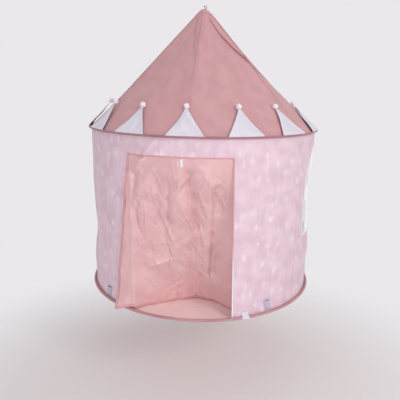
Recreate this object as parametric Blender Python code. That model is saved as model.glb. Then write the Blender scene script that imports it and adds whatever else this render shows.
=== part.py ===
"""Kids play tent that hangs from a loop: a gored roof over a round wall with a door, windows and pennants.

Metres, +Z up. The origin is where a hook bears in the hang loop. The door faces -Y.
A turn is an angle about the tent's axis, counted from the door's middle (-Y) towards +X.
"""
import math

import bmesh
import bpy
from mathutils import Matrix, Vector

# whole tent
HOOP_RADIUS = 0.525
WALL_HEIGHT = 0.735
ROOF_HEIGHT = 0.515
CROWN_RADIUS = 0.020
CLOTH = 0.001
GAP = 0.0003
HOOP_SIDES = 48
SHARP_EDGE_DEG = 40.0

# hoops and the fabric channels that hold them
WIRE_RADIUS = 0.0015
WIRE_SIDES = 5
EAVE_CHANNEL_RADIUS = 0.0045
BASE_CHANNEL_RADIUS = 0.0055
CHANNEL_ROUND_STEPS = 6
LIP = 0.0006
LIP_SLIT = 0.0004
LIP_TUCK = 0.0015

# wall
WALL_INSET = 0.010
WALL_STEP_DEG = 3.5
WALL_ROWS = 8
SIDE_PANEL_WIDTH = 0.50
FOLD_COUNT = 22
FOLD_DEPTH = 0.0035
FOLD_LEAN_DEG = 14.0
FOLD_FADE_DEG = 14.0
DENT_TURN_DEG = -66.0
DENT_HEIGHT = 0.28
DENT_WIDTH = 0.09
DENT_DEPTH = 0.014

# door
DOOR_WIDTH = 0.424
DOOR_SPREAD = 0.014
HEADER_HEIGHT = 0.080
TRIM_WIDTH = 0.005
TRIM_STEPS = 6

# windows
WINDOW_TURN_DEG = 90.0
WINDOW_WIDTH = 0.33
WINDOW_FOOT = 0.283
WINDOW_HEIGHT = 0.39
WINDOW_SAG = 0.016
WINDOW_ARCH_STEPS = 12
PIPING_WIDTH = 0.006
CUTTER_REACH = 0.08

# curtain
CURTAIN_COLUMNS = 18
CURTAIN_ROWS = 12
CURTAIN_LAP_COLUMNS = 4
CURTAIN_EDGE_INSET_DEG = 0.3
CURTAIN_TOP_LAP = 0.006
CURTAIN_LEFT_LAP = 0.075
CURTAIN_RIGHT_LAP = 0.055
CURTAIN_RIGHT_RISE = 0.076
CURTAIN_CLEARANCE = 0.0012
CURTAIN_FOOT_CLEARANCE = 0.003
CURTAIN_CORNER_FLARE = 0.020
CURTAIN_CORNER_DROP = 0.025
CURTAIN_FOLD_DEPTH = 0.011
CURTAIN_FOLD_WIDTH = 0.022
# how the curtain changes down its drop: its billow and its left edge grow by a power of the drop, the folds
# start within the first share of it and keep a share of their depth at the foot, and the left lap passes
# over the base hoop within the last share
CURTAIN_BILLOW_POWER = 1.3
CURTAIN_EDGE_POWER = 0.85
CURTAIN_FOLD_START_SHARE = 0.25
CURTAIN_FOOT_FOLD_SHARE = 0.5
CURTAIN_SILL_SHARE = 0.2
# the curtain's foot billows inwards: radii as shares of the hoop's, evenly spread from edge to edge
CURTAIN_FOOT_SHARES = (1.0, 0.865, 0.795, 0.74, 0.70, 0.66, 0.63, 0.613, 0.60, 0.595, 0.597, 0.62, 0.65, 0.705)
# its main folds, as shares of the door's width from the left: place, depth, how far they lean to the right
CURTAIN_FOLD_SHARES = (
    (0.10, 0.9, 0.02),
    (0.28, -0.7, 0.03),
    (0.46, 0.9, 0.00),
    (0.61, -1.0, 0.06),
    (0.80, 0.9, -0.01),
    (0.93, -0.6, 0.02),
)
TIE_WIDTH = 0.010
TIE_LENGTH = 0.026
TIE_DROP = 0.003
TIE_PLACE_SHARE = 0.54

# roof
GORE_COUNT = 6
GORE_SEAM_TURN_DEG = 3.1
GORE_COLUMNS = 10
GORE_ROWS = 7
GORE_SAG = 0.012
GORE_FLATNESS_SHARE = 0.6
PLEAT_TURN_DEG = 57.0
PLEAT_WIDTH = 0.024
PLEAT_DEPTH = 0.006
PATCH_SKIRT = 0.016
PATCH_CLEARANCE = 0.0006
PATCH_SIDES = 36

# hang loop
LOOP_RADIUS = 0.007
LOOP_THICKNESS = 0.0014
LOOP_WIDTH = 0.010
LOOP_SIDES = 20

# pennants
PENNANT_COUNT = 14
PENNANT_TURN_DEG = 3.1
PENNANT_WIDTH = 0.147
PENNANT_LENGTH = 0.136
PENNANT_TIP_WIDTH = 0.012
PENNANT_LIFT_DEG = 1.2
POMPON_RADIUS = 0.0115
POMPON_SEGMENTS = 8
POMPON_RINGS = 6

# base
FLOOR_DROP = 0.0005
FLOOR_RISE_WIDTH = 0.018
POCKET_TURN_DEG = 42.0
POCKET_SKEW_DEG = 1.7
POCKET_WIDTH = 0.036
POCKET_HEIGHT = 0.048
POCKET_DEPTH = 0.009
POCKET_WALL = 0.0009
CLOSURE_TURN_DEG = 0.8
CLOSURE_LENGTH = 0.026
CLOSURE_WIDTH = 0.0045

# levels and radii that follow from the sizes above
LOOP_FOOT_Z = -(2 * LOOP_RADIUS + LOOP_THICKNESS)
CROWN_Z = LOOP_FOOT_Z - GAP
EAVE_Z = CROWN_Z - ROOF_HEIGHT
BASE_Z = EAVE_Z - WALL_HEIGHT
WALL_RADIUS = HOOP_RADIUS - WALL_INSET
SEAM_HALF = LIP + LIP_SLIT / 2
SEAM_CLEAR = SEAM_HALF + GAP
DOOR_HEIGHT = WALL_HEIGHT - HEADER_HEIGHT
DOOR_HALF = DOOR_WIDTH / 2 / WALL_RADIUS
SIDE_HALF = SIDE_PANEL_WIDTH / 2 / WALL_RADIUS
WINDOW_TURN = math.radians(WINDOW_TURN_DEG)
TRIM_OFFSET = CLOTH + GAP
OUTSIDE_TRIM = TRIM_OFFSET + CLOTH + CURTAIN_CLEARANCE

ROSE = (0.58, 0.32, 0.33, 1)
PALE_ROSE = (0.72, 0.45, 0.46, 1)
LILAC = (0.78, 0.62, 0.71, 1)
WHITE = (0.86, 0.84, 0.86, 1)
DARK_ROSE = (0.36, 0.17, 0.19, 1)
STEEL = (0.55, 0.55, 0.57, 1)
GREY = (0.50, 0.48, 0.56, 1)


def clear_scene():
    for thing in list(bpy.data.objects):
        bpy.data.objects.remove(thing, do_unlink=True)


def finish(name, colour, roughness=0.8, metallic=0.0):
    """A Principled material of its own for one piece."""
    material = bpy.data.materials.new(name)
    material.use_nodes = True
    shader = material.node_tree.nodes["Principled BSDF"]
    shader.inputs["Base Color"].default_value = colour
    shader.inputs["Roughness"].default_value = roughness
    shader.inputs["Metallic"].default_value = metallic
    return material


def on_tent(turn, radius, z):
    """A point at a turn, a radius and a height."""
    return Vector((radius * math.sin(turn), -radius * math.cos(turn), z))


def outward(turn):
    return Vector((math.sin(turn), -math.cos(turn), 0))


def along(turn):
    return Vector((math.cos(turn), math.sin(turn), 0))


def piece(name, bm, colour, parent=None, origin=None, smooth=True, roughness=0.8, metallic=0.0):
    """Turn a closed bmesh in world coordinates into a named object, with its own origin and parent."""
    bmesh.ops.recalc_face_normals(bm, faces=bm.faces)
    origin = origin or Vector((0, 0, 0))
    bmesh.ops.translate(bm, verts=bm.verts, vec=-origin)
    mesh = bpy.data.meshes.new(name)
    bm.to_mesh(mesh)
    bm.free()
    if smooth:
        mesh.shade_smooth()
        mesh.set_sharp_from_angle(angle=math.radians(SHARP_EDGE_DEG))
    thing = bpy.data.objects.new(name, mesh)
    thing.location = origin
    mesh.materials.append(finish(name, colour, roughness, metallic))
    bpy.context.collection.objects.link(thing)
    if parent:
        thing.parent = parent
        thing.location = origin - parent.matrix_world.translation
    return thing


def joint_empty(name, place):
    empty = bpy.data.objects.new(name, None)
    empty.location = place
    empty.empty_display_size = HOOP_RADIUS / 20
    bpy.context.collection.objects.link(empty)
    bpy.context.view_layer.update()
    return empty


def cloth(rows):
    """A closed sheet of cloth about a grid of points, given as rows of equal length."""
    last_row = len(rows) - 1
    last_column = len(rows[0]) - 1
    bm = bmesh.new()
    faces = {1: [], -1: []}
    for side, layer in faces.items():
        for i, row in enumerate(rows):
            made = []
            for j, point in enumerate(row):
                across = row[min(j + 1, last_column)] - row[max(j - 1, 0)]
                down = rows[min(i + 1, last_row)][j] - rows[max(i - 1, 0)][j]
                normal = across.cross(down).normalized()
                made.append(bm.verts.new(point + side * CLOTH / 2 * normal))
            layer.append(made)
    for layer in faces.values():
        for i in range(last_row):
            for j in range(last_column):
                bm.faces.new((layer[i][j], layer[i][j + 1], layer[i + 1][j + 1]))
                bm.faces.new((layer[i][j], layer[i + 1][j + 1], layer[i + 1][j]))
    for i in range(last_row):
        for j in (0, last_column):
            bm.faces.new((faces[1][i][j], faces[1][i + 1][j], faces[-1][i + 1][j], faces[-1][i][j]))
    for j in range(last_column):
        for i in (0, last_row):
            bm.faces.new((faces[1][i][j], faces[1][i][j + 1], faces[-1][i][j + 1], faces[-1][i][j]))
    return bm


def turned(profile, sides):
    """A ring, disc or cap turned about the tent's axis from the (radius, z) points round its section."""
    bm = bmesh.new()
    rings = []
    for radius, z in profile:
        turns = [2 * math.pi * k / sides for k in range(sides if radius else 1)]
        rings.append([bm.verts.new(on_tent(turn, radius, z)) for turn in turns])
    for a, b in zip(rings, rings[1:] + rings[:1]):
        for k in range(sides):
            corners = [a[k % len(a)], a[(k + 1) % len(a)], b[(k + 1) % len(b)], b[k % len(b)]]
            corners = list(dict.fromkeys(corners))
            if len(corners) > 2:
                bm.faces.new(corners)
    return bm


def arc(radius, start, end, steps):
    """Points of a circle about (0, 0), as pairs, between two angles."""
    angles = [start + (end - start) * k / steps for k in range(steps + 1)]
    return [(radius * math.cos(angle), radius * math.sin(angle)) for angle in angles]


def channel_outline(radius):
    """The outside of a hoop's channel, round from one lip to the other, as pairs about the wire."""
    start = math.asin(SEAM_HALF / radius)
    return arc(radius, math.pi - start, start - math.pi, CHANNEL_ROUND_STEPS)


def hoop_reach(turn):
    """How far out the hoops reach at a turn: their rings have straight sides between the corners."""
    side = 2 * math.pi / HOOP_SIDES
    return HOOP_RADIUS * math.cos((turn + side / 2) % side - side / 2)


def hoop(name, channel_radius, level):
    """A spring wire hoop in its fabric channel, whose two lips run inwards to the wall's seam."""
    wire = [(HOOP_RADIUS + x, level + z) for x, z in arc(WIRE_RADIUS, 0, 2 * math.pi, WIRE_SIDES)[:-1]]
    piece(name + "_wire", turned(wire, HOOP_SIDES), STEEL, roughness=0.35, metallic=1.0)
    lip_end = WALL_INSET + LIP_TUCK
    bore_steps = CHANNEL_ROUND_STEPS - 1
    bore = (WIRE_RADIUS + GAP) / math.cos(math.pi / bore_steps)
    bore_start = math.asin(LIP_SLIT / 2 / bore)
    section = [(-lip_end, SEAM_HALF), *channel_outline(channel_radius)]
    section += [(-lip_end, -SEAM_HALF), (-lip_end, -LIP_SLIT / 2)]
    section += arc(bore, bore_start - math.pi, math.pi - bore_start, bore_steps)
    section += [(-lip_end, LIP_SLIT / 2)]
    profile = [(HOOP_RADIUS + x, level + z) for x, z in section]
    piece(name + "_binding", turned(profile, HOOP_SIDES), DARK_ROSE)


def bell(distance, width):
    return math.exp(-((distance / width) ** 2))


def wall_radius(turn, height):
    """Where the wall cloth hangs, at a height over the base hoop: folds, the windows' sag and one dent."""
    level = min(max(height / WALL_HEIGHT, 0), 1)
    slack = math.sin(math.pi * level)
    from_door = max(abs(turn) - DOOR_HALF, 0)
    fade = 1 - bell(from_door, math.radians(FOLD_FADE_DEG))
    fold = FOLD_DEPTH * math.sin(FOLD_COUNT * (turn + math.radians(FOLD_LEAN_DEG) * level)) * fade * slack
    window_middle = WINDOW_FOOT + WINDOW_HEIGHT / 2
    from_window = (abs(turn) - WINDOW_TURN) * WALL_RADIUS
    sag = WINDOW_SAG * bell(from_window, WINDOW_WIDTH / 2) * bell(height - window_middle, WINDOW_HEIGHT / 2)
    from_dent = math.hypot((turn - math.radians(DENT_TURN_DEG)) * WALL_RADIUS, height - DENT_HEIGHT)
    return WALL_RADIUS + fold - sag * slack - DENT_DEPTH * bell(from_dent, DENT_WIDTH) * fade


def door_spread(height):
    """How far the door's right side runs out at a height, as a turn: the cloth there hangs wider at its foot."""
    return DOOR_SPREAD / WALL_RADIUS * max(1 - height / DOOR_HEIGHT, 0)


def wall_cloth(start, end, foot, head, offset=0.0, rows=WALL_ROWS, beside_door=False):
    """A sheet that follows the wall between two turns and two heights, set off outwards."""
    steps = max(2, math.ceil(math.degrees(end - start) / WALL_STEP_DEG))
    grid = []
    for i in range(rows + 1):
        height = foot + (head - foot) * i / rows
        near = start + (door_spread(height) if beside_door else 0)
        turns = [near + (end - near) * j / steps for j in range(steps + 1)]
        grid.append([on_tent(t, wall_radius(t, height) + offset, BASE_Z + height) for t in turns])
    return cloth(grid)


def arch_outline(margin):
    """The window's outline on a flat plane as (across, up) pairs, widened by a margin."""
    half = WINDOW_WIDTH / 2
    spring = WINDOW_FOOT + WINDOW_HEIGHT - half
    points = [(-half - margin, WINDOW_FOOT - margin), (half + margin, WINDOW_FOOT - margin)]
    return points + [(x, spring + z) for x, z in arc(half + margin, 0, math.pi, WINDOW_ARCH_STEPS)]


def window_cutter(name, turn, margin, hole_margin=None):
    """A guide prism through the wall with the window's outline, or a frame of it."""
    bm = bmesh.new()
    outlines = [arch_outline(margin)]
    if hole_margin is not None:
        outlines.append(arch_outline(hole_margin))
    rings = []
    for points in outlines:
        for reach in (-CUTTER_REACH, CUTTER_REACH):
            place = outward(turn) * (WALL_RADIUS + reach)
            rings.append([bm.verts.new(place + along(turn) * x + Vector((0, 0, BASE_Z + z))) for x, z in points])
    count = len(rings[0])
    if hole_margin is None:
        bm.faces.new(rings[0])
        bm.faces.new(rings[1])
        pairs = [(rings[0], rings[1])]
    else:
        pairs = [(rings[0], rings[1]), (rings[1], rings[3]), (rings[3], rings[2]), (rings[2], rings[0])]
    for a, b in pairs:
        for k in range(count):
            bm.faces.new((a[k], a[(k + 1) % count], b[(k + 1) % count], b[k]))
    cutter = piece(name, bm, WHITE, smooth=False)
    cutter.hide_render = True
    cutter.display_type = "WIRE"
    return cutter


def cut(thing, operation, cutter):
    modifier = thing.modifiers.new(operation.lower(), "BOOLEAN")
    modifier.operation = operation
    modifier.object = cutter


def make_wall():
    foot = SEAM_CLEAR
    head = WALL_HEIGHT - SEAM_CLEAR
    seam = GAP / 2 / WALL_RADIUS
    bounds = {
        "front": (DOOR_HALF, WINDOW_TURN - SIDE_HALF),
        "side": (WINDOW_TURN - SIDE_HALF, WINDOW_TURN + SIDE_HALF),
        "back": (WINDOW_TURN + SIDE_HALF, math.pi),
    }
    for side, sign in (("right", 1), ("left", -1)):
        for part, (near, far) in bounds.items():
            start, end = sorted((sign * near, sign * far))
            beside_door = start == DOOR_HALF
            sheet = wall_cloth(start + seam, end - seam, foot, head, beside_door=beside_door)
            panel = piece(f"wall_{part}_{side}", sheet, LILAC)
            if part == "side":
                make_window(panel, side, sign * WINDOW_TURN, start + seam, end - seam)
    header = wall_cloth(-DOOR_HALF + seam, DOOR_HALF - seam, DOOR_HEIGHT, head, rows=1)
    piece("door_header", header, LILAC)


def make_window(panel, side, turn, start, end):
    """An arched opening with mesh set in it and white piping round it."""
    cut(panel, "DIFFERENCE", window_cutter(f"window_hole_{side}", turn, 0))
    screen = piece(f"window_mesh_{side}", wall_cloth(start, end, SEAM_CLEAR, WALL_HEIGHT - SEAM_CLEAR), WHITE)
    cut(screen, "INTERSECT", window_cutter(f"window_mesh_edge_{side}", turn, -GAP))
    raised = wall_cloth(start, end, SEAM_CLEAR, WALL_HEIGHT - SEAM_CLEAR, TRIM_OFFSET)
    piping = piece(f"window_piping_{side}", raised, WHITE)
    cut(piping, "INTERSECT", window_cutter(f"window_piping_edge_{side}", turn, PIPING_WIDTH, 0))


def make_door_trim():
    """A narrow band on the outside of the wall, up both sides of the door and across its top."""
    width = TRIM_WIDTH / WALL_RADIUS
    steps = math.ceil(math.degrees(2 * DOOR_HALF) / WALL_STEP_DEG)
    across = [DOOR_HALF * (2 * k / steps - 1) for k in range(steps + 1)]
    turns = [-DOOR_HALF - width, *across, DOOR_HALF + width]
    uprights = [SEAM_CLEAR + (DOOR_HEIGHT - SEAM_CLEAR) * k / TRIM_STEPS for k in range(TRIM_STEPS + 1)]
    heights = [*uprights, DOOR_HEIGHT + TRIM_WIDTH]
    top = len(heights) - 2
    right = len(turns) - 2
    cells = [(i, j) for i in range(top + 1) for j in range(right + 1) if i == top or j in (0, right)]
    bm = bmesh.new()
    verts = {}

    def corner(lift, i, j):
        if (lift, i, j) not in verts:
            turn = turns[j] + (door_spread(heights[i]) if j >= right else 0)
            verts[lift, i, j] = bm.verts.new(on_tent(turn, WALL_RADIUS + lift, BASE_Z + heights[i]))
        return verts[lift, i, j]

    inner = CLOTH / 2 + GAP
    outer = inner + CLOTH
    for i, j in cells:
        around = ((i, j), (i, j + 1), (i + 1, j + 1), (i + 1, j))
        for lift in (inner, outer):
            bm.faces.new([corner(lift, *place) for place in around])
        neighbours = ((i - 1, j), (i, j + 1), (i + 1, j), (i, j - 1))
        for neighbour, a, b in zip(neighbours, around, around[1:] + around[:1]):
            if neighbour not in cells:
                bm.faces.new([corner(inner, *a), corner(inner, *b), corner(outer, *b), corner(outer, *a)])
    piece("door_trim", bm, ROSE)


def smooth_step(x):
    x = min(max(x, 0), 1)
    return x * x * (3 - 2 * x)


def foot_radius(share):
    """The curtain's radius at its foot, on a smooth curve through the listed shares."""
    last = len(CURTAIN_FOOT_SHARES) - 1
    k = min(int(share * last), last - 1)
    step = share * last - k
    near = [CURTAIN_FOOT_SHARES[min(max(k + i, 0), last)] for i in (-1, 0, 1, 2)]
    slopes = ((near[2] - near[0]) / 2, (near[3] - near[1]) / 2)
    rise = near[2] - near[1]
    bend = (1 - step) * (slopes[0] - rise) - step * (slopes[1] - rise)
    return HOOP_RADIUS * (near[1] + rise * step + step * (1 - step) * bend)


def curtain_folds(share, drop):
    """How far the cloth stands out of the curtain's plain surface, from its main folds."""
    total = 0
    for place, depth, lean in CURTAIN_FOLD_SHARES:
        away = (share - place - lean * drop) * DOOR_WIDTH
        total += depth * bell(away, CURTAIN_FOLD_WIDTH * (1 + drop))
    hang = smooth_step(drop / CURTAIN_FOLD_START_SHARE) * (1 - (1 - CURTAIN_FOOT_FOLD_SHARE) * drop)
    return CURTAIN_FOLD_DEPTH * total * hang


def curtain_point(share, drop):
    """A point of the curtain between the door's sides: share from left to right, drop from top to foot."""
    inset = math.radians(CURTAIN_EDGE_INSET_DEG)
    turn = -DOOR_HALF + inset + 2 * (DOOR_HALF - inset) * share
    head = DOOR_HEIGHT - GAP
    foot = BASE_CHANNEL_RADIUS + CURTAIN_FOOT_CLEARANCE
    height = head + (foot - head) * drop
    left_hold = WALL_RADIUS + OUTSIDE_TRIM
    right_hold = WALL_RADIUS - CLOTH - CURTAIN_CLEARANCE
    plain = WALL_RADIUS + (foot_radius(share) - WALL_RADIUS) * drop**CURTAIN_BILLOW_POWER
    if share == 0:
        radius = left_hold
    elif share == 1:
        radius = min(right_hold, plain)
    else:
        radius = plain + curtain_folds(share, drop)
    return turn, radius, height


def curtain_columns(drop):
    """One row of the curtain: the left lap outside the wall, the door's width, the right lap inside it."""
    row = []
    turn, radius, height = curtain_point(0, drop)
    widening = (CURTAIN_LEFT_LAP - CURTAIN_TOP_LAP) * drop**CURTAIN_EDGE_POWER
    lap = (CURTAIN_TOP_LAP + widening) / WALL_RADIUS
    for k in range(CURTAIN_LAP_COLUMNS):
        out = 1 - k / CURTAIN_LAP_COLUMNS
        fall = CURTAIN_CORNER_DROP * smooth_step(out) * smooth_step(2 * drop - 1)
        flare = CURTAIN_CORNER_FLARE * out * drop**2
        over = (BASE_CHANNEL_RADIUS + CLOTH) * smooth_step(1 - (1 - drop) / CURTAIN_SILL_SHARE)
        row.append(on_tent(turn - lap * out, radius + flare + over, BASE_Z + height - fall))
    row.append(on_tent(turn, radius, BASE_Z + height))
    for k in range(1, CURTAIN_COLUMNS + 1):
        turn, radius, height = curtain_point(k / CURTAIN_COLUMNS, drop)
        row.append(on_tent(turn, radius, BASE_Z + height))
    lap = (CURTAIN_TOP_LAP + (CURTAIN_RIGHT_LAP - CURTAIN_TOP_LAP) * drop) / WALL_RADIUS
    rise = CURTAIN_RIGHT_RISE * drop**CURTAIN_BILLOW_POWER
    for out in (1 / 2, 1):
        row.append(on_tent(turn + lap * out, radius + rise * out, BASE_Z + height))
    return row


def make_curtain():
    """The door's curtain, sewn along the header's edge, on a hinge line through the foremost point there."""
    hinge = Vector((0, -WALL_RADIUS, BASE_Z + DOOR_HEIGHT))
    parent = joint_empty("curtain_hinge", hinge)
    rows = [curtain_columns(i / CURTAIN_ROWS) for i in range(CURTAIN_ROWS + 1)]
    piece("door_curtain", cloth(rows), PALE_ROSE, parent, hinge)
    half = TIE_WIDTH / 2 / DOOR_WIDTH
    tab = []
    for drop in (TIE_DROP, TIE_DROP + TIE_LENGTH / 2, TIE_DROP + TIE_LENGTH):
        places = [curtain_point(TIE_PLACE_SHARE + side, drop / DOOR_HEIGHT) for side in (-half, half)]
        tab.append([on_tent(turn, radius + CLOTH + GAP, BASE_Z + height) for turn, radius, height in places])
    piece("curtain_tie_tab", cloth(tab), WHITE, parent, hinge, smooth=False)


def block(centre, turn, width, depth, height):
    """A box that faces outwards at a turn."""
    bm = bmesh.new()
    bmesh.ops.create_cube(bm, size=1)
    bmesh.ops.scale(bm, verts=bm.verts, vec=(width, depth, height))
    bmesh.ops.rotate(bm, verts=bm.verts, matrix=Matrix.Rotation(turn, 3, "Z"))
    bmesh.ops.translate(bm, verts=bm.verts, vec=centre)
    return bm


def roof_point(turn, middle, share):
    """The roof's surface: share 0 at the crown and 1 at the eave, in the gore about a middle turn."""
    half = math.pi / GORE_COUNT
    across = (turn - middle) / half
    eave_radius = WALL_RADIUS + CLOTH
    radius = CROWN_RADIUS + (eave_radius - CROWN_RADIUS) * share
    flat = GORE_FLATNESS_SHARE * (1 - share)
    radius *= 1 - flat * (1 - math.cos(half) / math.cos(turn - middle))
    hang = math.sin(math.pi * share)
    radius -= GORE_SAG * (1 - across**2) * hang
    radius += PLEAT_DEPTH * bell((turn - math.radians(PLEAT_TURN_DEG)) * radius, PLEAT_WIDTH) * hang
    foot_z = EAVE_Z + SEAM_CLEAR + CLOTH / 2
    head_z = CROWN_Z - CLOTH - GAP - CLOTH / 2
    return on_tent(turn, radius, head_z + (foot_z - head_z) * share)


def make_roof():
    """Flat-cut gores sewn edge to edge: near the crown, where they meet at an angle, the seam opens a little."""
    half = math.pi / GORE_COUNT
    for k in range(GORE_COUNT):
        middle = math.radians(GORE_SEAM_TURN_DEG) + (2 * k + 1) * half
        if middle > math.pi:
            middle -= 2 * math.pi
        rows = []
        for i in range(GORE_ROWS + 1):
            share = i / GORE_ROWS
            radius = CROWN_RADIUS + (WALL_RADIUS - CROWN_RADIUS) * share
            seam = GAP / 2 + CLOTH / 4 * (1 - share)
            edge = half - seam / radius
            turns = [middle + edge * (2 * j / GORE_COLUMNS - 1) for j in range(GORE_COLUMNS + 1)]
            rows.append([roof_point(turn, middle, share) for turn in turns])
        piece(f"roof_gore_{k + 1}", cloth(rows), ROSE)


def make_crown():
    """The patch that closes the roof's top, and the loop the tent hangs from."""
    slope = (WALL_RADIUS - CROWN_RADIUS) / ROOF_HEIGHT
    away = CLOTH + PATCH_CLEARANCE
    skirt_z = CROWN_Z - PATCH_SKIRT
    top = CROWN_RADIUS + away
    foot = top + slope * PATCH_SKIRT
    profile = [
        (0, CROWN_Z),
        (top + CLOTH, CROWN_Z),
        (foot + CLOTH, skirt_z),
        (foot, skirt_z),
        (top, CROWN_Z - CLOTH),
        (0, CROWN_Z - CLOTH),
    ]
    piece("crown_patch", turned(profile, PATCH_SIDES), ROSE)
    bm = bmesh.new()
    rings = []
    for y in (-LOOP_WIDTH / 2, LOOP_WIDTH / 2):
        for radius in (LOOP_RADIUS, LOOP_RADIUS + LOOP_THICKNESS):
            points = arc(radius, 0, 2 * math.pi, LOOP_SIDES)[:-1]
            rings.append([bm.verts.new((x, y, z - LOOP_RADIUS)) for x, z in points])
    inner_front, outer_front, inner_back, outer_back = rings
    for a, b in (
        (inner_front, outer_front),
        (outer_front, outer_back),
        (outer_back, inner_back),
        (inner_back, inner_front),
    ):
        for k in range(LOOP_SIDES):
            bm.faces.new((a[k], a[(k + 1) % LOOP_SIDES], b[(k + 1) % LOOP_SIDES], b[k]))
    piece("hang_loop", bm, DARK_ROSE)


def pennant_hinge(turn):
    """Where a pennant turns: just over the eave hoop's channel, on the side that faces up the roof."""
    lean = math.atan2(WALL_RADIUS - CROWN_RADIUS, ROOF_HEIGHT)
    outline = channel_outline(EAVE_CHANNEL_RADIUS)
    seat = max(x * math.cos(lean) + z * math.sin(lean) for x, z in outline)
    reach = seat + GAP + CLOTH / 2
    return on_tent(turn, hoop_reach(turn) + reach * math.cos(lean), EAVE_Z + reach * math.sin(lean))


def make_pennants():
    """Flaps that lie up the roof with a pompon at the tip, each on a hinge line over the eave hoop."""
    roof_slope = math.atan2(ROOF_HEIGHT, WALL_RADIUS - CROWN_RADIUS)
    slope = roof_slope + math.radians(PENNANT_LIFT_DEG)
    for k in range(PENNANT_COUNT):
        turn = math.radians(PENNANT_TURN_DEG) + 2 * math.pi * k / PENNANT_COUNT
        hinge = pennant_hinge(turn)
        parent = joint_empty(f"pennant_hinge_{k + 1:02d}", hinge)
        ahead = Vector((0, 0, math.sin(slope))) - outward(turn) * math.cos(slope)
        rows = []
        for distance, width in ((0, PENNANT_WIDTH), (PENNANT_LENGTH, PENNANT_TIP_WIDTH)):
            middle = hinge + ahead * distance
            rows.append([middle - along(turn) * width / 2, middle + along(turn) * width / 2])
        piece(f"pennant_{k + 1:02d}", cloth(rows), WHITE, parent, hinge, smooth=False)
        bm = bmesh.new()
        bmesh.ops.create_uvsphere(
            bm, u_segments=POMPON_SEGMENTS, v_segments=POMPON_RINGS, radius=POMPON_RADIUS
        )
        pole_ahead = Vector((0, 0, 1)).rotation_difference(ahead).to_matrix()
        bmesh.ops.rotate(bm, verts=bm.verts, matrix=pole_ahead)
        centre = hinge + ahead * (PENNANT_LENGTH + GAP + POMPON_RADIUS)
        bmesh.ops.translate(bm, verts=bm.verts, vec=centre)
        piece(f"pompon_{k + 1:02d}", bm, WHITE, parent, hinge)


def make_floor():
    """The floor sheet: flat on the ground, rising at its rim to the base hoop's seam."""
    low = BASE_Z - BASE_CHANNEL_RADIUS - FLOOR_DROP
    rim = BASE_Z - SEAM_CLEAR
    flat_radius = WALL_RADIUS - FLOOR_RISE_WIDTH
    rim_radius = WALL_RADIUS + LIP_TUCK
    profile = [
        (0, low + CLOTH),
        (flat_radius, low + CLOTH),
        (WALL_RADIUS, rim),
        (rim_radius, rim),
        (rim_radius, rim - CLOTH),
        (WALL_RADIUS, rim - CLOTH),
        (flat_radius, low),
        (0, low),
    ]
    piece("floor_sheet", turned(profile, HOOP_SIDES), PALE_ROSE)


def make_pocket(name, turn):
    """A flat pouch for a pole's end, open at its top, low on the outside of the wall."""
    radius = WALL_RADIUS + CLOTH / 2 + GAP + POCKET_DEPTH / 2 + POCKET_WIDTH**2 / WALL_RADIUS / 8
    foot = BASE_CHANNEL_RADIUS + GAP
    bm = block(Vector((0, 0, 0)), 0, POCKET_WIDTH, POCKET_DEPTH, POCKET_HEIGHT)
    top = [face for face in bm.faces if face.normal.z > 1 / 2]
    bmesh.ops.inset_region(bm, faces=top, thickness=POCKET_WALL)
    mouth = bmesh.ops.extrude_face_region(bm, geom=top)
    moved = [item for item in mouth["geom"] if isinstance(item, bmesh.types.BMVert)]
    bmesh.ops.translate(bm, verts=moved, vec=(0, 0, POCKET_WALL - POCKET_HEIGHT))
    bmesh.ops.delete(bm, geom=top, context="FACES")
    bmesh.ops.rotate(bm, verts=bm.verts, matrix=Matrix.Rotation(turn, 3, "Z"))
    place = on_tent(turn, radius, BASE_Z + foot + POCKET_HEIGHT / 2)
    bmesh.ops.translate(bm, verts=bm.verts, vec=place)
    piece(name, bm, GREY, smooth=False)


def make_base_details():
    """Pole pockets at the wall's foot and the tab that holds the curtain shut."""
    for end, angle in (("front", POCKET_TURN_DEG), ("back", 180 - POCKET_TURN_DEG)):
        for side, sign in (("right", 1), ("left", -1)):
            make_pocket(f"pole_pocket_{end}_{side}", math.radians(sign * angle + POCKET_SKEW_DEG))
    turn = math.radians(CLOSURE_TURN_DEG)
    channel_edge = (HOOP_RADIUS - BASE_CHANNEL_RADIUS) * math.cos(math.pi / HOOP_SIDES)
    tab_edge = math.sqrt(channel_edge**2 - (CLOSURE_LENGTH / 2) ** 2) - GAP
    centre = on_tent(turn, tab_edge - CLOSURE_WIDTH / 2, BASE_Z + SEAM_CLEAR + CLOTH / 2)
    piece("door_closure_tab", block(centre, turn, CLOSURE_LENGTH, CLOSURE_WIDTH, CLOTH), WHITE, smooth=False)


def main():
    clear_scene()
    hoop("eave_hoop", EAVE_CHANNEL_RADIUS, EAVE_Z)
    hoop("base_hoop", BASE_CHANNEL_RADIUS, BASE_Z)
    make_crown()
    make_roof()
    make_wall()
    make_door_trim()
    make_curtain()
    make_pennants()
    make_floor()
    make_base_details()


main()
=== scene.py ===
# A hanging play tent of sewn cloth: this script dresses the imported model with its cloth, trim and finishes
import math
import random

import bpy
from mathutils import Matrix, Vector, noise


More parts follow.
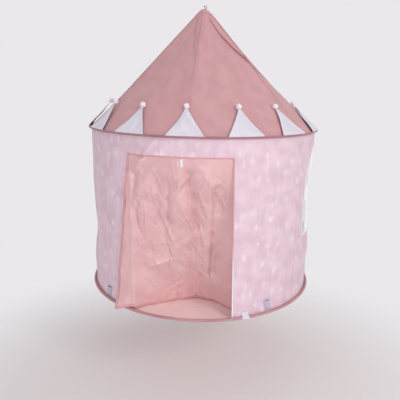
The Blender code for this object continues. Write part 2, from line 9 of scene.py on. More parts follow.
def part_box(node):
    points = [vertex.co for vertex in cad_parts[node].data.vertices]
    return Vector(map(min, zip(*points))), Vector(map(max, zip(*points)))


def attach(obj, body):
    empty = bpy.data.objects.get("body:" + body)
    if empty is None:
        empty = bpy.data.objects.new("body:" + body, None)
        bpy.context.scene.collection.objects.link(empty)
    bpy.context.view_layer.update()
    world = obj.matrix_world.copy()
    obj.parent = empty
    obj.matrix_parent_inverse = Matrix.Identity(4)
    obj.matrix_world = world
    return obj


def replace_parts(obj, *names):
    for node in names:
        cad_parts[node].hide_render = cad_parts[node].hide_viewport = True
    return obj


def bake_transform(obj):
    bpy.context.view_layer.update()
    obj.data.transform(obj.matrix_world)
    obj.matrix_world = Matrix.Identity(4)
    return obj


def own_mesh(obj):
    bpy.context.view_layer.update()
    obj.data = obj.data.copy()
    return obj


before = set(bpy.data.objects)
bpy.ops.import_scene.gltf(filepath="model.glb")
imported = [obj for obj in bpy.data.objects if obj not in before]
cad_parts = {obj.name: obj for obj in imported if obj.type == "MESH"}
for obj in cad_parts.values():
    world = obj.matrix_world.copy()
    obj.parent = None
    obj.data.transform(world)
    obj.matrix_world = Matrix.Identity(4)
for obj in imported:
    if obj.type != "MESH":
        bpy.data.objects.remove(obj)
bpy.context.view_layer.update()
bpy.ops.object.select_all(action="DESELECT")
print("frame loaded,", len(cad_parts), "nodes")

# sizes that all the pieces share, in metres
tent = {
    "wire": 0.0015,
    "wallInset": 0.010,
    "doorWidth": 0.424,
    "windowTurn": math.radians(90),
    "crownSink": 0.0018,
    "eaveClear": 0.0005,
    "roofTravel": 0.381,
    "wallTravel": 0.54,
}
cloth = {
    "thickness": 0.0008,
    "seamGap": 0.00015,
    "hoopGap": 0.0011,
    "lift": 0.0009,
    "stitchLift": 0.0006,
    "mergeReach": 0.00002,
}

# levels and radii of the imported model, which all the cloth follows
eaveLow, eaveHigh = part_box("eave_hoop_wire")
baseLow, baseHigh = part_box("base_hoop_wire")
hoopRadius = eaveHigh.x - tent["wire"]
wallRadius = hoopRadius - tent["wallInset"]
eaveZ = (eaveLow.z + eaveHigh.z) / 2
baseZ = (baseLow.z + baseHigh.z) / 2
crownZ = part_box("crown_patch")[1].z
roofHeadZ = crownZ - tent["crownSink"]
roofFootZ = eaveZ + cloth["hoopGap"] + tent["eaveClear"]
wallHeight = eaveZ - baseZ
wallHead = wallHeight - cloth["hoopGap"]
roofHeight = crownZ - eaveZ
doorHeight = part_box("door_header")[0].z - baseZ
doorWidth = tent["doorWidth"]
doorHalf = doorWidth / 2 / wallRadius
upwards = Vector((0, 0, 1))


def bell(distance, width):
    return math.exp(-((distance / width) ** 2))


def smoothStep(x):
    x = min(max(x, 0), 1)
    return x * x * (3 - 2 * x)


def onTent(turn, radius, z):
    return Vector((radius * math.sin(turn), -radius * math.cos(turn), z))


def outwards(turn):
    return onTent(turn, 1, 0)


def sideways(turn):
    return Vector((math.cos(turn), math.sin(turn), 0))


def ripple(x, y, seed):
    return noise.noise(Vector((x, y, seed)))


# creases as crumpled cloth keeps them: 1 along a sharp ridge, falling off on both sides
def ridges(x, y, seed):
    return 1 - 2 * abs(ripple(x, y, seed))


# dents that meet in straight creases: 0 in the middle of each and up to 1 where they meet
def facets(x, y, seed):
    return noise.voronoi(Vector((x, y, seed)))[0][0] ** 2


# one crease from start to end on a flat cloth, with a sharp crest and a width on each side of it
def creaseHeight(x, y, start, end, height, left, right):
    fadeLength = 0.03
    stepX, stepY = end[0] - start[0], end[1] - start[1]
    length = math.hypot(stepX, stepY)
    reach = max(left, right) + fadeLength
    if not min(start[0], end[0]) - reach < x < max(start[0], end[0]) + reach:
        return 0
    if not min(start[1], end[1]) - reach < y < max(start[1], end[1]) + reach:
        return 0
    way = ((x - start[0]) * stepX + (y - start[1]) * stepY) / length
    away = ((x - start[0]) * stepY - (y - start[1]) * stepX) / length
    ends = smoothStep(way / fadeLength + 0.5) * smoothStep((length - way) / fadeLength + 0.5)
    return height * ends * max(0, 1 - abs(away) / (right if away > 0 else left)) ** 2


# puts a piece on its body; what is put on the roof goes on the crown and what is put on the wall on the eave,
# each with a mesh of its own
def dress(thing, body, node=None):
    if node:
        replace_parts(thing, node)
    if body == "roof":
        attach(thing, "crown")
        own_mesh(thing)
    elif body == "wall":
        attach(thing, "eave")
        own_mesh(thing)
    else:
        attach(thing, body)
    return thing


def makeActive(thing):
    bpy.ops.object.select_all(action="DESELECT")
    thing.select_set(True)
    bpy.context.view_layer.objects.active = thing


# modifiers are applied at once, as from the modifier panel
def applyModifier(thing, kind, **settings):
    modifier = thing.modifiers.new(kind, kind)
    for key, value in settings.items():
        setattr(modifier, key, value)
    bpy.context.view_layer.objects.active = thing
    bpy.ops.object.modifier_apply(modifier=modifier.name)


# thickens a piece where a thickness is given, smooths its shading and gives it its finish
def finishPiece(thing, finish, degrees=40, thickness=None, offset=0):
    if thickness:
        applyModifier(thing, "SOLIDIFY", thickness=thickness, offset=offset)
    makeActive(thing)
    bpy.ops.object.shade_smooth_by_angle(angle=math.radians(degrees))
    thing.select_set(False)
    thing.data.materials.append(finishes[finish])
    return thing


# edit-mode work on a whole mesh: merge its meeting points, close its holes and turn its faces outwards
def mendMesh(thing, merge=True, close=False, turn=True):
    makeActive(thing)
    bpy.ops.object.mode_set(mode="EDIT")
    bpy.ops.mesh.select_all(action="SELECT")
    if merge:
        bpy.ops.mesh.remove_doubles(threshold=cloth["mergeReach"])
    if close:
        bpy.ops.mesh.select_mode(type="EDGE")
        bpy.ops.mesh.select_all(action="DESELECT")
        bpy.ops.mesh.select_non_manifold()
        bpy.ops.mesh.fill_holes(sides=0)
        bpy.ops.mesh.select_all(action="SELECT")
    if turn:
        bpy.ops.mesh.normals_make_consistent(inside=False)
    bpy.ops.object.mode_set(mode="OBJECT")


# a flat grid laid on a surface: place(across, up) gives the point for shares from 0 to 1
def layGrid(name, columns, rows, place, flat=(1, 1), corner=(0, 0)):
    bpy.ops.mesh.primitive_grid_add(x_subdivisions=columns, y_subdivisions=rows, size=1)
    panel = bpy.context.object
    panel.name = name
    panel.data.name = name
    for vertex in panel.data.vertices:
        vertex.co = place(vertex.co.x + 0.5, vertex.co.y + 0.5)
    for loop in panel.data.uv_layers.active.data:
        loop.uv = (corner[0] + loop.uv.x * flat[0], corner[1] + loop.uv.y * flat[1])
    return panel


def sewPanel(name, columns, rows, place, finish, flat, corner=(0, 0), thickness=cloth["thickness"]):
    return finishPiece(layGrid(name, columns, rows, place, flat, corner), finish, thickness=thickness)


# a tape, cord or rolled hem along a path: path(share) gives the point, its side and its outward direction
def sewTape(name, steps, path, halfWidth, halfThick, finish, sides=10):
    length = sum((path(k / steps)[0] - path((k + 1) / steps)[0]).length for k in range(steps))

    def place(along, around):
        point, side, out = path(along)
        angle = 2 * math.pi * around
        return point + side * halfWidth * math.cos(angle) + out * halfThick * math.sin(angle)

    tape = layGrid(name, steps, sides, place, (length, 2 * math.pi * halfWidth))
    mendMesh(tape, close=True)
    return finishPiece(tape, finish, 60)


# one stitch is modelled and copied along a list of (point, direction, outward direction)
def sewStitches(name, places, finish, length=0.0032, width=0.0004):
    bpy.ops.mesh.primitive_uv_sphere_add(segments=5, ring_count=4, radius=1)
    stitch = bpy.context.object
    corners = [vertex.co.copy() for vertex in stitch.data.vertices]
    # sorted, because the sphere's faces come in another order on each run
    faces = sorted(list(polygon.vertices) for polygon in stitch.data.polygons)
    bpy.data.objects.remove(stitch, do_unlink=True)
    points = []
    sides = []
    for point, ahead, out in places:
        first = len(points)
        side = out.cross(ahead)
        for x, y, z in corners:
            points.append(point + ahead * z * length / 2 + side * x * width + out * y * width)
        sides.extend([first + index for index in face] for face in faces)
    mesh = bpy.data.meshes.new(name)
    mesh.from_pydata(points, [], sides)
    row = bpy.data.objects.new(name, mesh)
    bpy.context.collection.objects.link(row)
    mesh.shade_smooth()
    mesh.materials.append(finishes[finish])
    return row


def stitchPlaces(path, length, offset=0.0, spacing=0.0055, lift=0.0):
    count = max(2, round(length / spacing))
    places = []
    for k in range(count):
        share = (k + 0.5) / count
        point, side, out = path(share)
        near = max(share - 0.25 / count, 0)
        ahead = (path(min(share + 0.25 / count, 1))[0] - path(near)[0]).normalized()
        places.append((point + side * offset + out * lift, ahead, out))
    return places


# finishes
def wire(tree, socket, value):
    if isinstance(value, bpy.types.NodeSocket):
        tree.links.new(value, socket)
    else:
        socket.default_value = value


def setSockets(tree, made, **sockets):
    for key, value in sockets.items():
        wire(tree, made.inputs[key.replace("_", " ")], value)


def addNode(tree, kind, options=None, **sockets):
    made = tree.nodes.new(kind)
    for key, value in (options or {}).items():
        setattr(made, key, value)
    setSockets(tree, made, **sockets)
    return made


# a node whose sockets are given in their order
def inOrder(tree, kind, options, *values):
    made = addNode(tree, kind, options)
    for socket, value in zip(made.inputs, values):
        wire(tree, socket, value)
    return made.outputs[0]


def addMath(tree, operation, first, second):
    return inOrder(tree, "ShaderNodeMath", {"operation": operation}, first, second)


def mixColours(tree, share, first, second):
    mix = addNode(tree, "ShaderNodeMix", {"data_type": "RGBA"})
    for number, value in ((0, share), (6, first), (7, second)):
        wire(tree, mix.inputs[number], value)
    return mix.outputs[2]


def colourOf(red, green, blue):
    def linear(value):
        value /= 255
        return value / 12.92 if value <= 0.04045 else ((value + 0.055) / 1.055) ** 2.4

    return (linear(red), linear(green), linear(blue), 1)


def noiseOf(tree, where, size, detail=2.0, roughness=0.5):
    scale = 1 / size
    made = addNode(tree, "ShaderNodeTexNoise", Vector=where, Scale=scale, Detail=detail, Roughness=roughness)
    return made.outputs[0]


def spread(tree, value, low, high, out=(0.0, 1.0)):
    return inOrder(tree, "ShaderNodeMapRange", {"interpolation_type": "SMOOTHSTEP"}, value, low, high, *out)


def bumped(tree, height, strength, distance, normal=None):
    bump = addNode(tree, "ShaderNodeBump", Height=height, Strength=strength, Distance=distance)
    if normal:
        setSockets(tree, bump, Normal=normal)
    return bump.outputs[0]


def stretched(tree, where, across, up):
    return addNode(tree, "ShaderNodeMapping", Vector=where, Scale=(across, up, 1.0)).outputs[0]


# texture coordinates that wander, so that a pattern on them keeps no straight lines
def warped(tree, where, size, amount):
    drift = addNode(tree, "ShaderNodeTexNoise", Vector=where, Scale=1 / size, Detail=2.0).outputs["Color"]
    return inOrder(
        tree, "ShaderNodeVectorMath", {"operation": "MULTIPLY_ADD"}, drift, (amount, amount, amount), where
    )


def plainWeave(tree, where, pitch):
    bands = []
    for direction in ("X", "Y"):
        options = {"wave_type": "BANDS", "bands_direction": direction}
        band = addNode(tree, "ShaderNodeTexWave", options, Vector=where, Scale=math.pi / 10 / pitch)
        bands.append(band.outputs[0])
    return addMath(tree, "MAXIMUM", *bands)


def newFinish(name, coordinates="Object"):
    finish = bpy.data.materials.new(name)
    finish.use_nodes = True
    tree = finish.node_tree
    where = addNode(tree, "ShaderNodeTexCoord").outputs[coordinates]
    return finish, tree, tree.nodes["Principled BSDF"], where


# what a cloth has unless its own look says otherwise
plainCloth = {
    "patch": 0.09,
    "patchRange": (0.32, 0.68),
    "fleck": 0.0035,
    "fleckRange": (0.3, 0.7),
    "fleckShare": 0.22,
    "roughness": 0.72,
    "sheen": 0.15,
    "sheenRoughness": 0.5,
    "specular": 0.3,
    "pitch": 0.0011,
    "weaveStrength": 0.25,
    "weaveDepth": 0.0001,
    "crease": 0.02,
    "creaseStrength": 0.35,
    "creaseDepth": 0.0015,
    "crinkleShare": 0.09,
}


# woven cloth: two close colours in soft patches, a plain weave and fine creases
def clothFinish(name, look):
    look = {**plainCloth, **look}
    finish, tree, shader, where = newFinish(name, "UV")
    shade = colourOf(*look["shade"])
    patches = spread(tree, noiseOf(tree, where, look["patch"], 3.0), *look["patchRange"])
    colour = mixColours(tree, patches, colourOf(*look["colour"]), shade)
    flecks = spread(tree, noiseOf(tree, where, look["fleck"]), *look["fleckRange"], (0.0, look["fleckShare"]))
    colour = mixColours(tree, flecks, colour, shade)
    if "pattern" in look:
        colour = look["pattern"](tree, where, colour)
    weave = bumped(tree, plainWeave(tree, where, look["pitch"]), look["weaveStrength"], look["weaveDepth"])
    creases = noiseOf(tree, where, look["crease"], 4.0, 0.6)
    normal = bumped(tree, creases, look["creaseStrength"], look["creaseDepth"], weave)
    if "crinkle" in look:
        size, strength = look["crinkle"]
        drifting = warped(tree, where, size * 3, size * 2)
        cells = addNode(tree, "ShaderNodeTexVoronoi", Vector=drifting, Scale=1 / size).outputs["Distance"]
        normal = bumped(tree, cells, strength, size * look["crinkleShare"], normal)
    setSockets(
        tree, shader, Base_Color=colour, Roughness=look["roughness"], Sheen_Weight=look["sheen"],
        Sheen_Roughness=look["sheenRoughness"], Specular_IOR_Level=look["specular"], Normal=normal,
    )
    return finish


# soft white stars and dots printed on the wall, loosely spread and a little blurred, with painted sheen:
# lighter vertical streaks where the wall catches the light
wallPrint = {
    "wander": (0.03, 0.014),
    "spacing": 0.058,
    "stretch": 0.66,
    "spread": 0.8,
    "motif": (240, 230, 240),
    "strength": 0.54,
    "starShape": 0.7,
    "star": (0.04, 0.42),
    "dot": (0.02, 0.27),
    "starShare": (0.36, 0.42),
    "worn": 0.05,
    "wornRange": (0.3, 0.65),
    "wornShare": (0.15, 1.0),
    # painted sheen: soft lighter streaks up the wall, their size across and up, their range and their strength
    "sheenStreak": (0.022, 0.10),
    "sheenStreakRange": (0.52, 0.78),
    "sheenStreakStrength": 0.26,
}


def starPrint(tree, where, ground):
    motif = colourOf(*wallPrint["motif"])
    where = warped(tree, where, *wallPrint["wander"])
    spacing = wallPrint["spacing"]
    tall = stretched(tree, where, 1 / spacing, wallPrint["stretch"] / spacing)
    loose = {"Vector": tall, "Scale": 1.0, "Randomness": wallPrint["spread"]}
    options = {"feature": "F1", "voronoi_dimensions": "2D"}
    dots = addNode(tree, "ShaderNodeTexVoronoi", options, **loose)
    options["distance"] = "MINKOWSKI"
    stars = addNode(tree, "ShaderNodeTexVoronoi", options, Exponent=wallPrint["starShape"], **loose)
    star = spread(tree, stars.outputs["Distance"], *wallPrint["star"], (1.0, 0.0))
    dot = spread(tree, dots.outputs["Distance"], *wallPrint["dot"], (1.0, 0.0))
    isStar = spread(tree, dots.outputs["Color"], *wallPrint["starShare"])
    printed = addNode(tree, "ShaderNodeMix", {"data_type": "FLOAT"}, Factor=isStar, A=dot, B=star).outputs[0]
    worn = noiseOf(tree, where, wallPrint["worn"])
    worn = spread(tree, worn, *wallPrint["wornRange"], wallPrint["wornShare"])
    strength = addMath(tree, "MULTIPLY", addMath(tree, "MULTIPLY", printed, worn), wallPrint["strength"])
    colour = mixColours(tree, strength, ground, motif)
    # painted sheen: lighter vertical streaks where the creased wall catches the light, mixed towards the
    # motif's white
    sheenStreaks = noiseOf(tree, stretched(tree, where, *(1 / size for size in wallPrint["sheenStreak"])), 1.0, 3.0)
    light = spread(tree, sheenStreaks, *wallPrint["sheenStreakRange"], (0.0, wallPrint["sheenStreakStrength"]))
    return mixColours(tree, light, colour, motif)


# yarn: fine strands as streaks of light and shade
yarnLook = {"strand": 0.0012, "range": (0.3, 0.7), "bump": (0.35, 0.0005), "roughness": 0.9, "sheen": 0.4}


def yarnFinish(name, colour, shade):
    finish, tree, shader, where = newFinish(name)
    strands = noiseOf(tree, where, yarnLook["strand"], 3.0)
    mixed = mixColours(tree, spread(tree, strands, *yarnLook["range"]), colourOf(*colour), colourOf(*shade))
    setSockets(
        tree, shader, Base_Color=mixed, Roughness=yarnLook["roughness"], Sheen_Weight=yarnLook["sheen"],
        Normal=bumped(tree, strands, *yarnLook["bump"]),
    )
    return finish


# drawn spring steel: fine lines along the wire and a faint blue tint
steelLook = {
    "line": 0.004,
    "colours": ((150, 152, 158), (186, 188, 192)),
    "range": (0.3, 0.7),
    "roughness": (0.28, 0.45),
    "bump": (0.2, 0.0002),
}


def steelFinish(name):
    finish, tree, shader, where = newFinish(name)
    lines = noiseOf(tree, where, steelLook["line"], 4.0)
    mixed = mixColours(tree, lines, *(colourOf(*colour) for colour in steelLook["colours"]))
    rough = spread(tree, lines, *steelLook["range"], steelLook["roughness"])
    normal = bumped(tree, lines, *steelLook["bump"])
    setSockets(tree, shader, Base_Color=mixed, Metallic=1.0, Roughness=rough, Normal=normal)
    return finish


# crinkle is the size of the cloth's small dents and their strength
looks = {
    "roofCloth": {"colour": (203, 155, 157), "shade": (195, 145, 148), "creaseStrength": 0.3},
    # painted shade: the roof cloth darker where the seam allowance behind it lets less light through
    "roofAllowanceShade": {"colour": (195, 145, 148), "shade": (188, 136, 141)},
    "curtainCloth": {
        "colour": (224, 181, 181),
        "shade": (215, 168, 170),
        "roughness": 0.32,
        "specular": 0.65,
        "crinkle": (0.020, 0.45),
        "creaseStrength": 0.4,
    },
    # the floor cloth's own pale pink, made lighter as painted light for the light that comes in through the
    # cloth walls
    "floorCloth": {"colour": (243, 216, 212), "shade": (238, 208, 205), "crinkle": (0.03, 0.25)},
    "wallCloth": {
        "colour": (226, 201, 212),
        "shade": (216, 185, 197),
        "patch": 0.06,
        "pattern": starPrint,
        "crinkle": (0.028, 0.22),
        "creaseStrength": 0.4,
    },
    "pennantSatin": {
        "colour": (220, 215, 223),
        "shade": (208, 201, 214),
        "roughness": 0.36,
        "sheen": 0.1,
        "specular": 0.6,
        "crinkle": (0.045, 0.5),
    },
    "windowNet": {"colour": (250, 250, 252), "shade": (244, 243, 247), "sheen": 0.5, "creaseStrength": 0.1},
    "whiteTape": {"colour": (236, 232, 238), "shade": (224, 220, 228), "pitch": 0.0008},
    "doorTrim": {"colour": (221, 164, 168), "shade": (209, 150, 156), "pitch": 0.0008},
    "eaveBinding": {"colour": (172, 124, 130), "shade": (158, 110, 118), "pitch": 0.0008},
    "baseBinding": {"colour": (196, 146, 150), "shade": (182, 130, 136), "pitch": 0.0008},
    "loopWebbing": {"colour": (150, 100, 106), "shade": (132, 86, 94), "pitch": 0.0014, "specular": 0.4},
    "pocketCloth": {"colour": (194, 186, 206), "shade": (178, 169, 192)},
}
yarns = {
    "roseThread": ((214, 164, 166), (190, 136, 140)),
    "whiteThread": ((240, 236, 242), (216, 208, 220)),
    "pomponYarn": ((246, 241, 246), (228, 220, 230)),
}
finishes = {name: clothFinish(name, look) for name, look in looks.items()}
finishes.update({name: yarnFinish(name, *colours) for name, colours in yarns.items()})
finishes["springSteel"] = steelFinish("springSteel")
print("finishes mixed,", len(finishes))


# roof: six gores sewn edge to edge, sagging between the seams, with pleats down the right-hand side
roof = {
    "gores": 6,
    "seamTurn": math.radians(3.1),
    "crownRadius": 0.020,
    "footSpare": 0.001,
    "sag": 0.012,
    "flatness": 0.6,
    "pucker": 0.0009,
    "puckerTurns": 330,
    "puckerWidth": 0.012,
    "crumple": (0.0022, 0.09, 0.24),  # depth, and size across and down
    "crumpleClear": 0.03,
    "slumpTurn": math.radians(100),
    "slump": 0.008,
    "slope": (0.72, 0.69),  # the way off the cloth: outwards and up
    "foldHead": 0.05,  # share of the height where the allowance and the pleat start
    "allowance": 0.012,
    "allowanceLift": 0.0003,
    "allowanceGap": 0.002,
    "allowanceEnd": 0.40,
    "pleatTurn": math.radians(33),
    "pleatLean": math.radians(70),
    "pleatEnd": 0.60,
    "pleatHalf": 0.010,
    "pleatThick": 0.0009,
    "pleatLift": 0.0012,
    "pleatTilt": 0.26,
    "ridge": (0.010, 0.0055, 0.030, 0.026),  # beside the pleat: distance, height, width before and after
    "seamHead": 0.03,
    "seamReach": 0.965,
    "seamHalf": 0.0045,
    "seamThick": 0.0007,
    "stitchOffset": 0.003,
    "areaShare": 0.53,
    "columns": 40,
    "rows": 96,
}
goreHalf = math.pi / roof["gores"]


def goreMiddle(number):
    return roof["seamTurn"] + (2 * number + 1) * goreHalf


def goreAt(turn):
    return goreMiddle(math.floor((turn - roof["seamTurn"]) / (2 * goreHalf)))


def coneRadius(share, foot=wallRadius):
    return roof["crownRadius"] + (foot - roof["crownRadius"]) * share


def pleatTurn(share):
    return roof["pleatTurn"] + roof["pleatLean"] * share


def offRoof(turn):
    return outwards(turn) * roof["slope"][0] + upwards * roof["slope"][1]


def roofRadius(turn, middle, share):
    across = (turn - middle) / goreHalf
    radius = coneRadius(share, wallRadius + roof["footSpare"])
    flat = roof["flatness"] * (1 - share)
    radius *= 1 - flat * (1 - math.cos(goreHalf) / math.cos(turn - middle))
    radius -= roof["sag"] * (1 - across**2) * math.sin(math.pi * share)
    place, height, rise, fall = roof["ridge"]
    away = math.remainder(turn - pleatTurn(share), 2 * math.pi) * radius - place
    crest = max(0, 1 - abs(away) / (rise if away < 0 else fall)) ** 2
    radius += height * crest * min(1, 9 * share, 2 * (1 - share))
    slack = min(1, 6 * share, 6 * (1 - share))
    fromSeam = (1 - abs(across)) * goreHalf * radius
    pucker = math.sin(share * roof["puckerTurns"] + 3 * middle) * bell(fromSeam, roof["puckerWidth"])
    radius += roof["pucker"] * pucker * slack
    depth, wide, tall = roof["crumple"]
    crumple = ridges(turn * radius / wide, share * roofHeight / tall, middle)
    return radius + depth * crumple * slack * (1 - bell(fromSeam, roof["crumpleClear"]))


# the crown sinks a little on one side, where the hung tent leans from its loop
def roofPoint(turn, middle, share, lift=0.0):
    radius = roofRadius(turn, middle, share) + lift
    toSlump = radius * math.cos(turn - roof["slumpTurn"]) / roof["crownRadius"]
    slump = roof["slump"] * smoothStep(toSlump) * (1 - share) ** 10
    return onTent(turn, radius, roofHeadZ + (roofFootZ - roofHeadZ) * share - slump)


def roofTape(name, steps, path, half, thick=roof["seamThick"], finish="roofCloth"):
    return dress(sewTape(name, steps, path, half, thick, finish), "roof")


# the front seam's allowance, sewn inside, lets less light through: a slightly darker tape beside the seam,
# down from the crown, is painted shade
def makeAllowance(seamTurn):
    middle = goreMiddle(roof["gores"] - 1)

    def fold(local):
        share = roof["foldHead"] + (roof["allowanceEnd"] - roof["foldHead"]) * local
        beside = seamTurn - (roof["allowance"] + roof["allowanceGap"]) / coneRadius(share) * (1 - local**6)
        point = roofPoint(beside + 2 * math.pi, middle, share, roof["allowanceLift"])
        return point, sideways(seamTurn) * (1 - 0.6 * local**4), offRoof(seamTurn)

    return roofTape("roof_allowance_shade", 60, fold, roof["allowance"], finish="roofAllowanceShade")


# a pleat that leans over to the right, from the crown to the roof's right-hand side
def makePleat():
    def fold(local):
        share = roof["foldHead"] + (roof["pleatEnd"] - roof["foldHead"]) * local
        turn = pleatTurn(share)
        out = offRoof(turn)
        wide = min(1, 0.35 + 2 * local) * smoothStep(4 * (1 - local))
        side = (sideways(turn) - out * roof["pleatTilt"]) * wide
        return roofPoint(turn, goreAt(turn), share, roof["pleatLift"]), side, out

    return roofTape("roof_pleat", 90, fold, roof["pleatHalf"], roof["pleatThick"])


def makeRoof():
    slant = math.hypot(wallRadius, roofHeight)
    eaveArc = 2 * math.pi * wallRadius / roof["gores"]
    stitches = []
    for number in range(roof["gores"]):
        middle = goreMiddle(number)
        seamTurn = middle - goreHalf

        def place(across, up):
            edge = goreHalf - cloth["seamGap"] / coneRadius(1 - up)
            return roofPoint(middle + edge * (2 * across - 1), middle, 1 - up)

        def seam(share):
            down = roof["seamHead"] + roof["seamReach"] * share
            return roofPoint(seamTurn, middle, down, cloth["lift"]), sideways(seamTurn), offRoof(seamTurn)

        gore = sewPanel(
            f"roof_cloth_{number + 1}", roof["columns"], roof["rows"], place, "roofCloth",
            (eaveArc, slant), (number * eaveArc, 0),
        )
        dress(gore, "roof", f"roof_gore_{number + 1}")
        bands = [roofTape(f"roof_seam_{number + 1}", 120, seam, roof["seamHalf"])]
        for offset in (-roof["stitchOffset"], roof["stitchOffset"]):
            stitches += stitchPlaces(seam, slant, offset, lift=cloth["stitchLift"])
        if number == 0:
            bands += [makeAllowance(seamTurn), makePleat()]
    dress(sewStitches("roof_stitches", stitches, "roseThread"), "roof")
    print("roof sewn,", roof["gores"], "gores")


makeRoof()


# crown patch and hang loop
crown = {
    "skirt": 0.016,
    "clearance": 0.0013,
    "pucker": 0.0003,
    "puckers": 18,
    "slope": (0.69, 0.72),
    "sides": 96,
    "rows": 26,
    "hem": 0.07,
    "hemShare": 0.8,
    "hemLift": 0.0002,
    "stitch": 0.0026,
    "flat": (0.085, 0.085),
    "area": 0.0055,
    "loopRadius": 0.0077,
    "loopLevel": -0.007,
    "loopFoot": 0.0008,
    "loopWidth": 0.010,
    "loopLength": 0.046,
    "loopThickness": 0.0013,
    "loopPinch": 1.1,
    "loopStitches": 0.0035,
}


def makeCrown():
    reach = crown["skirt"] / roofHeight

    def offCrown(turn):
        return outwards(turn) * crown["slope"][0] + upwards * crown["slope"][1]

    # the patch lies close on the gores: up runs from its hem to the crown's edge and on to the middle
    def place(around, up):
        turn = 2 * math.pi * around
        share = reach * max(0, 1 - 2 * up)
        lift = crown["clearance"] + crown["pucker"] * math.sin(crown["puckers"] * turn) * (share / reach)
        point = roofPoint(turn, goreAt(turn), share) + offCrown(turn) * lift
        inwards = min(1, 2 - 2 * up)
        top = crownZ - crown["clearance"] * 0.2
        return Vector((point.x * inwards, point.y * inwards, top + (point.z - top) * inwards))

    flatRadius = roof["crownRadius"] + crown["skirt"]
    around = 2 * math.pi * flatRadius
    patch = layGrid("crown_cap", crown["sides"], crown["rows"], place, (around, flatRadius))
    mendMesh(patch)
    finishPiece(patch, "roofCloth", 50, cloth["thickness"], -1)
    dress(patch, "crown", "crown_patch")

    def hem(share):
        return place(share, crown["hem"]), upwards, offCrown(2 * math.pi * share)

    def loopSeam(share):
        return Vector(((share - 0.5) * crown["loopWidth"], 0, crownZ)), Vector((0, 1, 0)), upwards

    stitches = stitchPlaces(hem, around * crown["hemShare"], lift=crown["hemLift"])
    for offset in (-crown["loopStitches"], crown["loopStitches"]):
        stitches += stitchPlaces(loopSeam, crown["loopWidth"], offset, 0.003, 0.0004)
    row = sewStitches("crown_stitches", stitches, "roseThread", crown["stitch"])
    dress(row, "crown")

    def band(around, across):
        angle = 2 * math.pi * around
        pinch = abs(math.sin(angle / 2)) ** crown["loopPinch"]
        x = crown["loopRadius"] * math.sin(angle) * pinch
        z = crown["loopLevel"] - crown["loopRadius"] * math.cos(angle)
        return Vector((-x, (across - 0.5) * crown["loopWidth"], max(z, crownZ + crown["loopFoot"])))

    loop = layGrid("loop_band", 56, 8, band, (0.05, crown["loopWidth"]))
    finishPiece(loop, "loopWebbing", 50, crown["loopThickness"])
    dress(loop, "crown", "hang_loop")
    print("crown closed")


makeCrown()


# bindings: a gathered channel round each hoop, with a lip that runs in to the wall's seam
bindings = {"eave": {"radius": 0.0045, "level": eaveZ}, "base": {"radius": 0.0055, "level": baseZ}}
gather = {
    "depth": 0.0004,
    "turns": 40,
    "sizeUp": 1 / 150,
    "lip": 0.0115,
    "lipHalf": 0.0006,
    "lipShare": 0.24,
    "steps": 360,
    "rows": 26,
}


# across the tape: in along the upper lip, round the wire and out along the lower lip
def channelPoint(radius, share):
    start = math.pi - math.asin(gather["lipHalf"] / radius)
    if share < gather["lipShare"] or share > 1 - gather["lipShare"]:
        part = min(share, 1 - share) / gather["lipShare"]
        out = -gather["lip"] + (radius * math.cos(start) + gather["lip"]) * part
        return out, math.copysign(gather["lipHalf"], 0.5 - share)
    angle = start * (1 - 2 * (share - gather["lipShare"]) / (1 - 2 * gather["lipShare"]))
    return radius * math.cos(angle), radius * math.sin(angle)


def makeBinding(name, radius, level):
    around = 2 * math.pi * hoopRadius

    def place(way, across):
        turn = 2 * math.pi * way
        out, up = channelPoint(radius - cloth["thickness"] / 2, 1 - across)
        onWire = smoothStep(5 * (min(across, 1 - across) - gather["lipShare"]))
        x, y = math.sin(turn) * gather["turns"], math.cos(turn) * gather["turns"] + up / gather["sizeUp"]
        swell = 1 + gather["depth"] * ripple(x, y, 3) * onWire / math.hypot(out, up)
        return onTent(turn, hoopRadius + out * swell, level + up * swell)

    flatWidth = 2 * gather["lip"] + 2 * (math.pi - 1) * radius
    ring = layGrid(f"{name}_channel", gather["steps"], gather["rows"], place, (around, flatWidth))
    mendMesh(ring, turn=False)
    finishPiece(ring, f"{name}Binding", 60, cloth["thickness"])
    dress(ring, name, f"{name}_hoop_binding")


for name, binding in bindings.items():
    makeBinding(name, **binding)
    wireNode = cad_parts[f"{name}_hoop_wire"]
    wireNode.data.materials.clear()
    wireNode.data.materials.append(finishes["springSteel"])
print("hoops bound")


# wall: printed cloth hung between the hoops; each crease has its depth and its size across and up
wall = {
    "foldCount": 22,
    "foldDepth": 0.0035,
    "foldLean": math.radians(14),
    "foldFade": math.radians(14),
    "dentTurn": math.radians(-66),
    "dentHeight": 0.28,
    "dentWidth": 0.09,
    "dentDepth": 0.014,
    "sideHalf": 0.50 / 2 / wallRadius,
    "columnWidth": 0.0075,
    "rowHeight": 0.0085,
    "gather": (0.0009, 0.0085, 0.2),
    "gatherReach": 0.04,
    "lean": 0.25,
    "crumple": (0.0030, 0.075, 0.16),
    "wrinkle": (0.0016, 0.045, 0.085),
    "pull": (0.0042, 0.075, 0.42),
    "pullFrom": 0.35,
    "pullEnd": (2.3, 0.4),
    "doorSpread": 0.014,
    "seamHalf": 0.004,
    "seamThick": 0.0006,
    "stitchOffset": 0.0028,
}
window = {
    "width": 0.33,
    "foot": 0.283,
    "height": 0.39,
    "sag": 0.016,
    "reach": 0.08,
    "steps": 48,
    "piping": 0.003,
    "pipingThick": 0.0020,
    "stitchOffset": 0.0016,
    "stitchLift": 0.0018,
    "cell": 0.0039,
    "thread": 0.0013,
    "netShare": 0.9,
    "cutShare": 0.93,
}


